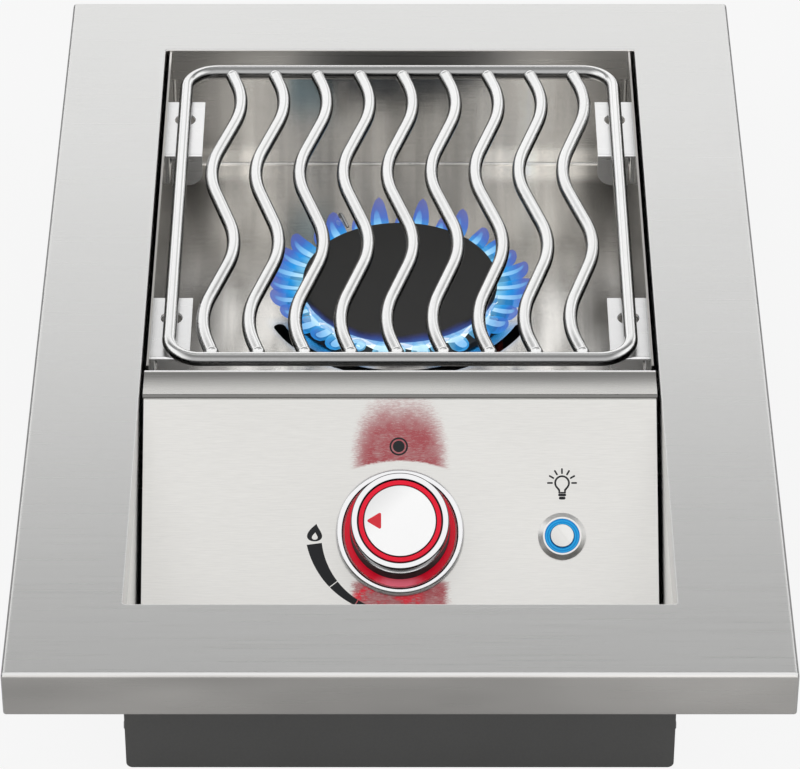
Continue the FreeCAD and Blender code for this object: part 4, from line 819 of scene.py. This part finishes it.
def lamp_sign(sizes):
    x, y = sizes.lamp_sign_across / MM, sizes.lamp_sign_up / MM
    outlines = [pear(x, y, 3.75, 1.8, 5.1), pear(x, y, 2.85, 0.95, 4.4)]
    outlines += [bar(x - 1.3, y - 5.85, 0, 0.0, 2.6, 1.3), bar(x - 0.9, y - 7.4, 0, 0.0, 1.8, 1.4)]
    outlines += [bar(x, y, 30 * step, 4.8, 6.8, 0.85) for step in range(7)]
    return outlines


def knob_pointer(sizes):
    """A plain red triangle near the face's edge, pointing outwards, with round corners."""
    x = -sizes.pointer_out / MM
    radius = 0.7
    points = []
    for cx, cy in ((2.2, -3.1), (2.2, 3.1), (-2.9, 0.0)):
        facing = math.degrees(math.atan2(cy, cx))
        points += [on_circle(x + cx, cy, radius, math.radians(facing - 60 + 20 * i)) for i in range(7)]
    return [points]


def make_prints(sizes):
    ink = ink_finish(sizes.ink_colour)
    signs = {
        "off_sign": off_sign(sizes),
        "high_flame_sign": high_sign(sizes),
        "level_arc_sign": level_arc(),
        "lamp_sign": lamp_sign(sizes),
    }
    for name, outlines in signs.items():
        mesh = ink_mesh(name, outlines, sizes.ink_gap, sizes.ink_thickness)
        add_piece(name, mesh, ink, HOUSING)


def make_pointer(sizes):
    finish = Finish("pointer_red")
    grain = finish.noise(1500.0, 2.0, 0.6)
    base = finish.mix(grain, (0.72, 0.008, 0.025, 1.0), (0.84, 0.015, 0.035, 1.0))
    material = finish.surface({"Base Color": base, "Roughness": 0.35})
    height = height_on_panel("knob_face_disc") + sizes.ink_gap
    mesh = ink_mesh("knob_pointer_mark", knob_pointer(sizes), height, sizes.ink_thickness)
    add_piece("knob_pointer_mark", mesh, material, "knob")


def make_springs():
    """The springs under the knob and the button: copies of their meshes that take the place of the frame's
    parts.
    """
    springs = {
        "stem_spring": ("thrust_carriage", KNOB_PLACE),
        "button_spring": ("light_button", BUTTON_PLACE),
    }
    for node, (moving, place) in springs.items():
        mesh = frame["nodes"][node].data.copy()
        coil = new_object(node + "_coil", mesh)
        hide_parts(node)
        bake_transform(coil)


# Flames

def curve_point(controls, share):
    """A point on a curve with four control points, and the direction there."""
    a, b, c, d = (Vector(control) for control in controls)
    rest = 1 - share
    point = a * rest ** 3 + b * 3 * rest ** 2 * share + c * 3 * rest * share ** 2 + d * share ** 3
    heading = (b - a) * rest ** 2 + (c - b) * 2 * rest * share + (d - c) * share ** 2
    return point, heading.normalized()


def add_lobe(mesh_data, angle, controls, width, last, twist, heat, sides=12, rings=14):
    """One flame: a closed drop that leaves the burner outwards and bends upwards."""
    verts, faces, heats = mesh_data
    outward = Vector((math.cos(angle), math.sin(angle), 0.0))
    sideways = Vector((-math.sin(angle), math.cos(angle), 0.0))
    first = len(verts)
    for ring in range(rings + 1):
        share = last * ring / rings
        near_end = ring / rings
        (reach, height), (lean, rise) = curve_point(controls, share)
        centre = outward * reach + Vector((0, 0, height)) + sideways * twist * share ** 2
        across = Vector((0, 0, lean)) - outward * rise
        narrow_foot = 0.6 + 0.4 * min(1.0, near_end / 0.4)
        half = width / 2 * (1 - near_end ** 3) ** 0.55 * narrow_foot
        for side in range(sides):
            turn = math.tau * side / sides
            offset = sideways * half * math.cos(turn) + across * half * 0.7 * math.sin(turn)
            verts.append((centre + offset) * MM)
            heats.append(share * heat)
    for ring in range(rings):
        for side in range(sides):
            a = first + ring * sides + side
            b = first + ring * sides + (side + 1) % sides
            faces.append((a, b, b + sides, a + sides))
    faces.append(tuple(first + side for side in reversed(range(sides))))
    faces.append(tuple(first + rings * sides + side for side in range(sides)))


def flame_piece(name, mesh_data, material):
    verts, faces, heats = mesh_data
    ground = Vector((BURNER_PLACE.x, BURNER_PLACE.y, 0.0))
    mesh = bpy.data.meshes.new(name)
    mesh.from_pydata([vert + ground for vert in verts], [], faces)
    rise = mesh.attributes.new("rise", "FLOAT", "POINT")
    rise.data.foreach_set("value", heats)
    for polygon in mesh.polygons:
        polygon.use_smooth = True
    piece = add_piece(name, mesh, material, HOUSING)
    piece.visible_shadow = False
    piece.visible_glossy = False


def flame_finish(name, stops, strength):
    """Burning gas: its colour and how much shows follow the height in the flame."""
    finish = Finish(name)
    rise = finish.node("ShaderNodeAttribute", {"attribute_name": "rise"}, output="Fac")
    ripple = finish.noise(300.0, 2.0, 0.5)
    share = rise + (ripple - 0.5) * 0.16
    colour = finish.ramp(share, [(place, rgba(shade)) for place, shade, _ in stops])
    cover = finish.ramp(share, [(place, grey(alpha)) for place, _, alpha in stops])
    return finish.surface({
        "Base Color": (0.0, 0.0, 0.0, 1.0),
        "Roughness": 1.0,
        "Specular IOR Level": 0.0,
        "Emission Color": colour,
        "Emission Strength": strength,
        "Alpha": cover,
    })


def by_side(angle, back, side, front):
    """A value that goes from back to side to front round the burner."""
    depth = math.sin(angle)
    return side * math.cos(angle) ** 2 + (back if depth > 0 else front) * depth ** 2


def front_band(inner_at, outer_at, height_at, half_thick, heat_at, sides=12, steps=220):
    """A closed band of flame round the front; it thins out to its ends."""
    verts, faces, heats = [], [], []
    start, end = math.radians(-165), math.radians(-15)
    for step in range(steps + 1):
        angle = start + (end - start) * step / steps
        from_end = min(step, steps - step) / steps
        fade = max(0.02, min(1.0, 6 * from_end) ** 0.5)
        outward = Vector((math.cos(angle), math.sin(angle), 0.0))
        middle = (inner_at(angle) + outer_at(angle)) / 2
        half = (outer_at(angle) - inner_at(angle)) / 2 * fade
        for side in range(sides):
            turn = math.tau * side / sides
            height = height_at(angle) + half_thick * fade * math.sin(turn)
            verts.append((outward * (middle + half * math.cos(turn)) + Vector((0, 0, height))) * MM)
            heats.append(heat_at(turn))
            if step:
                here, there = (step - 1) * sides, step * sides
                beside = (side + 1) % sides
                faces.append((here + side, there + side, there + beside, here + beside))
    faces.append(tuple(range(sides)))
    faces.append(tuple(steps * sides + side for side in reversed(range(sides))))
    return verts, faces, heats


def flame_lobes(sizes):
    """Large and small flames in turn all round, each with a brighter core in it."""
    chance = random.Random(7)
    bodies, cores = ([], [], []), ([], [], [])
    start, foot = sizes.flame_start / MM, sizes.flame_foot / MM
    count = sizes.flame_count
    for index in range(2 * count):
        small = index % 2
        angle = math.tau * (index + 1) / (2 * count) + chance.uniform(-0.03, 0.03)
        size = by_side(angle, 0.42, 0.90, 0.35) if small else 1.0
        out = sizes.flame_reach / MM * by_side(angle, 0.66, 1.0, 0.66) * (0.5 + 0.5 * size)
        out *= chance.uniform(0.93, 1.07)
        up = sizes.flame_rise / MM * by_side(angle, 1.0, 0.46, 0.10) * size * chance.uniform(0.88, 1.1)
        width = sizes.flame_width / MM * by_side(angle, 1.0, 1.22, 1.0) * (0.75 + 0.25 * size)
        width *= chance.uniform(0.94, 1.1)
        heat = by_side(angle, 1.0, 0.92, 0.10)
        twist = chance.uniform(-1.0, 1.0)
        controls = [(start, foot), (start + out * 0.7, foot - 0.5),
                    (start + out * 1.02, foot + up * 0.25), (start + out * 0.98, foot + up)]
        add_lobe(bodies, angle, controls, width, 1.0, twist, heat)
        add_lobe(cores, angle + 0.02, controls, width * by_side(angle, 0.46, 0.22, 0.60),
                 by_side(angle, 0.74, 0.86, 0.90), twist, by_side(angle, 0.80, 0.74, 0.2))
    return bodies, cores


def front_flames(sizes):
    """The joined flames at the front: their sheet, the bright line of its crests, and haze over it."""
    start, foot = sizes.flame_start / MM, sizes.flame_foot / MM

    def crest(angle):
        return -math.cos(sizes.flame_count * (angle + math.pi / 2))

    sheet = front_band(lambda angle: start, lambda angle: start + 6.4 + 1.6 * crest(angle),
                       lambda angle: foot, 1.0, lambda turn: 0.2 * (1 - math.cos(turn)))
    line = front_band(lambda angle: start + 4.2 + crest(angle), lambda angle: start + 5.5 + crest(angle),
                      lambda angle: foot + 1.2 - 0.5 * crest(angle), 0.6, lambda turn: 0.0)
    veil = front_band(lambda angle: start + 3.6, lambda angle: start + 6.2,
                      lambda angle: foot + 4.8 + 0.7 * crest(angle), 4.8,
                      lambda turn: 0.5 + 0.5 * math.sin(turn))
    return sheet, line, veil


def make_flames(sizes):
    """The flames; a stop is a place from foot (0) to tip (1), its colour and how much it covers."""
    violet = (0.100, 0.125, 0.46)
    blue = (0.060, 0.16, 0.60)
    azure = (0.02, 0.34, 0.84)
    cyan = (0.36, 0.80, 1.0)
    white = (0.88, 0.99, 1.0)
    body = flame_finish("flame_body", [(0.0, cyan, 0.50), (0.26, azure, 0.60), (0.55, blue, 0.68),
                                       (0.98, violet, 0.44)], 1.0)
    haze = flame_finish("flame_haze", [(0.0, azure, 0.50), (0.35, blue, 0.36), (0.60, violet, 0.18),
                                       (0.85, violet, 0.0)], 1.0)
    core = flame_finish("flame_core", [(0.0, white, 1.0), (0.40, cyan, 0.76), (0.66, azure, 0.0)], 1.2)
    bodies, cores = flame_lobes(sizes)
    sheet, line, veil = front_flames(sizes)
    flame_piece("flame_bodies", bodies, body)
    flame_piece("flame_cores", cores, core)
    flame_piece("flame_front_veil", veil, haze)
    flame_piece("flame_front_sheet", sheet, core)
    flame_piece("flame_crest_line", line, core)


# Studio

def stage_plane(name, corners, material):
    mesh = bpy.data.meshes.new(name)
    mesh.from_pydata(corners, [], [(0, 1, 2, 3)])
    mesh.materials.append(material)
    plane = new_object(name, mesh)
    return plane


def seen_share(nodes, camera, gloss):
    """How much of a white background shows to the camera, and in metal and glass."""
    path = nodes.node("ShaderNodeLightPath", output="Is Camera Ray")
    others = path.output("Is Glossy Ray") + path.output("Is Transmission Ray")
    return (path * camera + others * gloss).math("MINIMUM", 1.0)


def make_floor(sizes):
    finish = Finish("studio_floor")
    plain = finish.node("ShaderNodeBsdfDiffuse", None, {"Color": grey(sizes.floor_tone)})
    white = finish.node("ShaderNodeEmission", None, {"Color": grey(1.0), "Strength": 1.0})
    share = seen_share(finish, sizes.floor_white, sizes.floor_gloss)
    shader = finish.node("ShaderNodeMixShader", None, {0: share, 1: plain, 2: white})
    finish.node("ShaderNodeOutputMaterial", None, {"Surface": shader})
    far = 4.0
    corners = [(-far, -far, 0), (far, -far, 0), (far, far, 0), (-far, far, 0)]
    stage_plane("studio_floor", corners, finish.material)


def make_card(name, tone, corners):
    """A card that only the steel reflects."""
    finish = Finish(name)
    shader = finish.node("ShaderNodeBsdfDiffuse", None, {"Color": grey(tone)})
    finish.node("ShaderNodeOutputMaterial", None, {"Surface": shader})
    card = stage_plane(name, corners, finish.material)
    card.visible_camera = False
    card.visible_shadow = False
    card.visible_diffuse = False


def make_cards(sizes):
    """A grey card above the back, and low dark ones at both sides that line the rods' edges."""
    y, half, low, high = 1.6, 2.5, sizes.card_low, sizes.card_low + 2.2
    corners = [(-half, y, low), (half, y, low), (half, y, high), (-half, y, high)]
    make_card("studio_card", sizes.card_tone, corners)
    front, back, top, side_tone = -0.6, 2.2, sizes.side_card_height, 0.03
    for name, x in (("studio_left_card", -1.1), ("studio_right_card", 1.1)):
        make_card(name, side_tone, [(x, front, 0.0), (x, back, 0.0), (x, back, top), (x, front, top)])


def make_lamp(name, place, target, size, power):
    light = bpy.data.lights.new(name, "AREA")
    light.shape = "RECTANGLE"
    light.size = size[0]
    light.size_y = size[1]
    light.energy = power
    lamp = new_object(name, light)
    lamp.location = place
    lamp.rotation_euler = (Vector(target) - Vector(place)).to_track_quat("-Z", "Y").to_euler()
    lamp.visible_glossy = False


def make_world(sizes):
    world = bpy.data.worlds.new("studio_world")
    bpy.context.scene.world = world
    world.use_nodes = True
    nodes = Nodes(world.node_tree)
    share = seen_share(nodes, 1.0, 1.0)
    level = sizes.world_level + share * (1.0 - sizes.world_level)
    shader = nodes.node("ShaderNodeBackground", None, {"Color": grey(1.0), "Strength": level})
    nodes.node("ShaderNodeOutputWorld", None, {"Surface": shader})


def make_camera(sizes):
    data = bpy.data.cameras.new("studio_camera")
    data.sensor_width = 36.0
    data.lens = sizes.camera_lens
    camera = new_object("studio_camera", data)
    camera.location = (0.0, sizes.camera_y, sizes.camera_z)
    camera.rotation_euler = (sizes.camera_tilt, 0.0, 0.0)
    bpy.context.scene.camera = camera


def make_stage(sizes):
    make_camera(sizes)
    make_floor(sizes)
    make_cards(sizes)
    make_world(sizes)
    make_lamp("key_lamp", (-0.7, -0.9, 1.7), (0, 0, 0), (1.4, 1.2), 8.0)
    make_lamp("fill_lamp", (1.0, -0.3, 1.5), (0, 0, 0), (1.0, 1.0), 3.0)
    bpy.context.scene.view_settings.view_transform = "Standard"


# What a user can set

def colour_of(name, description, default):
    return FloatVectorProperty(name=name, description=description, subtype="COLOR", size=3,
                               min=0.0, max=1.0, default=default)


def length_of(name, description, default):
    return FloatProperty(name=name, description=description, unit="LENGTH", default=default)


def share_of(name, description, default):
    return FloatProperty(name=name, description=description, subtype="FACTOR", min=0.0, max=1.0,
                         default=default)


class BurnerFinishes(bpy.types.PropertyGroup):
    """Colours of the sheet, the castings and the lights."""

    trim_colour: colour_of("Trim", "Brushed steel of the trim frame", (0.80, 0.80, 0.79))
    tray_colour: colour_of("Tray", "Steel of the burner tray", (0.60, 0.585, 0.56))
    panel_colour: colour_of("Panel", "Brushed steel of the control panel", (0.765, 0.755, 0.73))
    bracket_colour: colour_of("Brackets", "Pale steel of the grate brackets", (1.0, 1.0, 1.0))
    grate_colour: colour_of("Grate", "Satin steel of the grate", (0.93, 0.93, 0.925))
    casing_colour: colour_of("Casing", "Dark paint of the casing", (0.150, 0.150, 0.147))
    enamel_colour: colour_of("Burner cap", "Black enamel of the burner cap", (0.042, 0.041, 0.040))
    red_light: colour_of("Red light", "Light ring of the knob", (0.74, 0.008, 0.030))
    red_light_bright: colour_of("Bright red", "Brightest part of the bezel's ring", (0.90, 0.17, 0.24))
    blue_light: colour_of("Blue light", "Light ring of the button", (0.004, 0.22, 0.60))
    blue_light_bright: colour_of("Bright blue", "Circles in the button's ring", (0.04, 0.50, 0.80))


class BurnerPrints(bpy.types.PropertyGroup):
    """Places of the printed signs, from the knob's centre."""

    ink_colour: colour_of("Ink", "Colour of the printed signs", (0.020, 0.021, 0.023))
    ink_thickness: length_of("Ink thickness", "Thickness of the printed layer", 0.00004)
    ink_gap: length_of("Ink gap", "Gap that keeps the ink off the steel", 0.00001)
    off_sign_up: length_of("Off sign", "Distance up the panel to the off sign", 0.0422)
    high_sign_out: length_of("Flame sign", "Distance left to the flame sign", 0.0409)
    lamp_sign_across: length_of("Lamp sign across", "Distance right to the lamp sign", 0.0778)
    lamp_sign_up: length_of("Lamp sign up", "Distance up the panel to the lamp sign", 0.0243)
    pointer_out: length_of("Pointer", "Distance of the pointer from the knob's centre", 0.0118)


class BurnerFlames(bpy.types.PropertyGroup):
    """Sizes of the flames round the burner cap."""

    flame_count: IntProperty(name="Flames", description="Number of large flames", default=16, min=6, max=36)
    flame_start: length_of("Start radius", "Radius at which the flames leave the ring", 0.0478)
    flame_foot: length_of("Start height", "Height of the ports above the floor", 0.0283)
    flame_reach: length_of("Reach", "How far a flame goes outwards", 0.0205)
    flame_rise: length_of("Rise", "How far a flame goes upwards", 0.0155)
    flame_width: length_of("Width", "Width of a large flame", 0.0098)


class BurnerStudio(bpy.types.PropertyGroup):
    """Camera, floor and light."""

    camera_y: length_of("Camera distance", "Place of the camera along Y", -1.74487)
    camera_z: length_of("Camera height", "Height of the camera", 1.38806)
    camera_tilt: FloatProperty(name="Camera tilt", description="Angle of the camera from straight down",
                               subtype="ANGLE", default=math.radians(52.5))
    camera_lens: FloatProperty(name="Lens", description="Focal length in millimetres", default=197.1)
    world_level: share_of("World light", "Strength of the light all round", 0.62)
    floor_white: share_of("Floor white", "How white the camera sees the floor", 0.9)
    floor_gloss: share_of("Floor gloss", "How white metal sees the floor", 0.04)
    floor_tone: share_of("Floor tone", "Tone of the floor itself", 0.42)
    card_tone: share_of("Card tone", "Tone of the grey card", 0.48)
    card_low: length_of("Card edge", "Height of the grey card's lower edge", 1.50)
    side_card_height: length_of("Side cards", "Height of the low dark cards at the sides", 0.36)


# Operators

class FinishSteels(bpy.types.Operator):
    """Gives the trim, tray, panel and brackets their brushed steel"""
    bl_idname = "side_burner.finish_steels"
    bl_label = "Sheet Steel"

    def execute(self, context):
        finish_steels(context.scene.burner_finishes)
        return {"FINISHED"}


class FinishMetals(bpy.types.Operator):
    """Gives the grate, knob, fittings and fasteners their metal"""
    bl_idname = "side_burner.finish_metals"
    bl_label = "Grate and Fittings"

    def execute(self, context):
        finish_metals(context.scene.burner_finishes)
        return {"FINISHED"}


class FinishPlainParts(bpy.types.Operator):
    """Gives the casing, burner, plastics and cables their finish"""
    bl_idname = "side_burner.finish_plain_parts"
    bl_label = "Paint, Castings and Plastics"

    def execute(self, context):
        finish_plain_parts(context.scene.burner_finishes)
        return {"FINISHED"}


class FinishLights(bpy.types.Operator):
    """Lights the rings of the knob, bezel and button, and finishes their faces"""
    bl_idname = "side_burner.finish_lights"
    bl_label = "Lit Rings and Faces"

    def execute(self, context):
        finish_lights(context.scene.burner_finishes)
        return {"FINISHED"}


class AddPrints(bpy.types.Operator):
    """Prints the signs on the control panel"""
    bl_idname = "side_burner.add_prints"
    bl_label = "Printed Signs"

    def execute(self, context):
        make_prints(context.scene.burner_prints)
        return {"FINISHED"}


class AddPointer(bpy.types.Operator):
    """Prints the pointer on the knob's face"""
    bl_idname = "side_burner.add_pointer"
    bl_label = "Knob Pointer"

    def execute(self, context):
        make_pointer(context.scene.burner_prints)
        return {"FINISHED"}


class AddSprings(bpy.types.Operator):
    """Winds the springs that push the knob and the button back"""
    bl_idname = "side_burner.add_springs"
    bl_label = "Springs"

    def execute(self, context):
        make_springs()
        return {"FINISHED"}


class AddFlames(bpy.types.Operator):
    """Lights the burner"""
    bl_idname = "side_burner.add_flames"
    bl_label = "Flames"

    def execute(self, context):
        make_flames(context.scene.burner_flames)
        return {"FINISHED"}


class AddStudio(bpy.types.Operator):
    """Adds the camera, floor, lamps and world"""
    bl_idname = "side_burner.add_studio"
    bl_label = "Studio"

    def execute(self, context):
        make_stage(context.scene.burner_studio)
        return {"FINISHED"}


OPERATORS = (AddStudio, FinishSteels, FinishMetals, FinishPlainParts, FinishLights, AddPrints, AddPointer,
             AddSprings, AddFlames)
GROUPS = {
    "burner_finishes": BurnerFinishes,
    "burner_prints": BurnerPrints,
    "burner_flames": BurnerFlames,
    "burner_studio": BurnerStudio,
}


class BurnerPanel(bpy.types.Panel):
    """Lists the steps and the sizes and colours that they take"""
    bl_idname = "VIEW3D_PT_side_burner"
    bl_label = "Side Burner"
    bl_space_type = "VIEW_3D"
    bl_region_type = "UI"
    bl_category = "Side Burner"

    def draw(self, context):
        for operator in OPERATORS:
            self.layout.operator(operator.bl_idname)
        for group in GROUPS:
            settings = getattr(context.scene, group)
            for name in GROUPS[group].__annotations__:
                self.layout.prop(settings, name)


def register():
    for name, group in GROUPS.items():
        bpy.utils.register_class(group)
        setattr(bpy.types.Scene, name, PointerProperty(type=group))
    for shown in (*OPERATORS, BurnerPanel):
        bpy.utils.register_class(shown)


def unregister():
    for shown in (BurnerPanel, *reversed(OPERATORS)):
        bpy.utils.unregister_class(shown)
    for name, group in GROUPS.items():
        delattr(bpy.types.Scene, name)
        bpy.utils.unregister_class(group)


def main():
    register()
    bpy.ops.side_burner.add_studio()
    bpy.ops.side_burner.finish_steels()
    bpy.ops.side_burner.finish_metals()
    bpy.ops.side_burner.finish_plain_parts()
    bpy.ops.side_burner.finish_lights()
    bpy.ops.side_burner.add_prints()
    bpy.ops.side_burner.add_pointer()
    bpy.ops.side_burner.add_springs()
    bpy.ops.side_burner.add_flames()


if __name__ == "__main__":
    main()
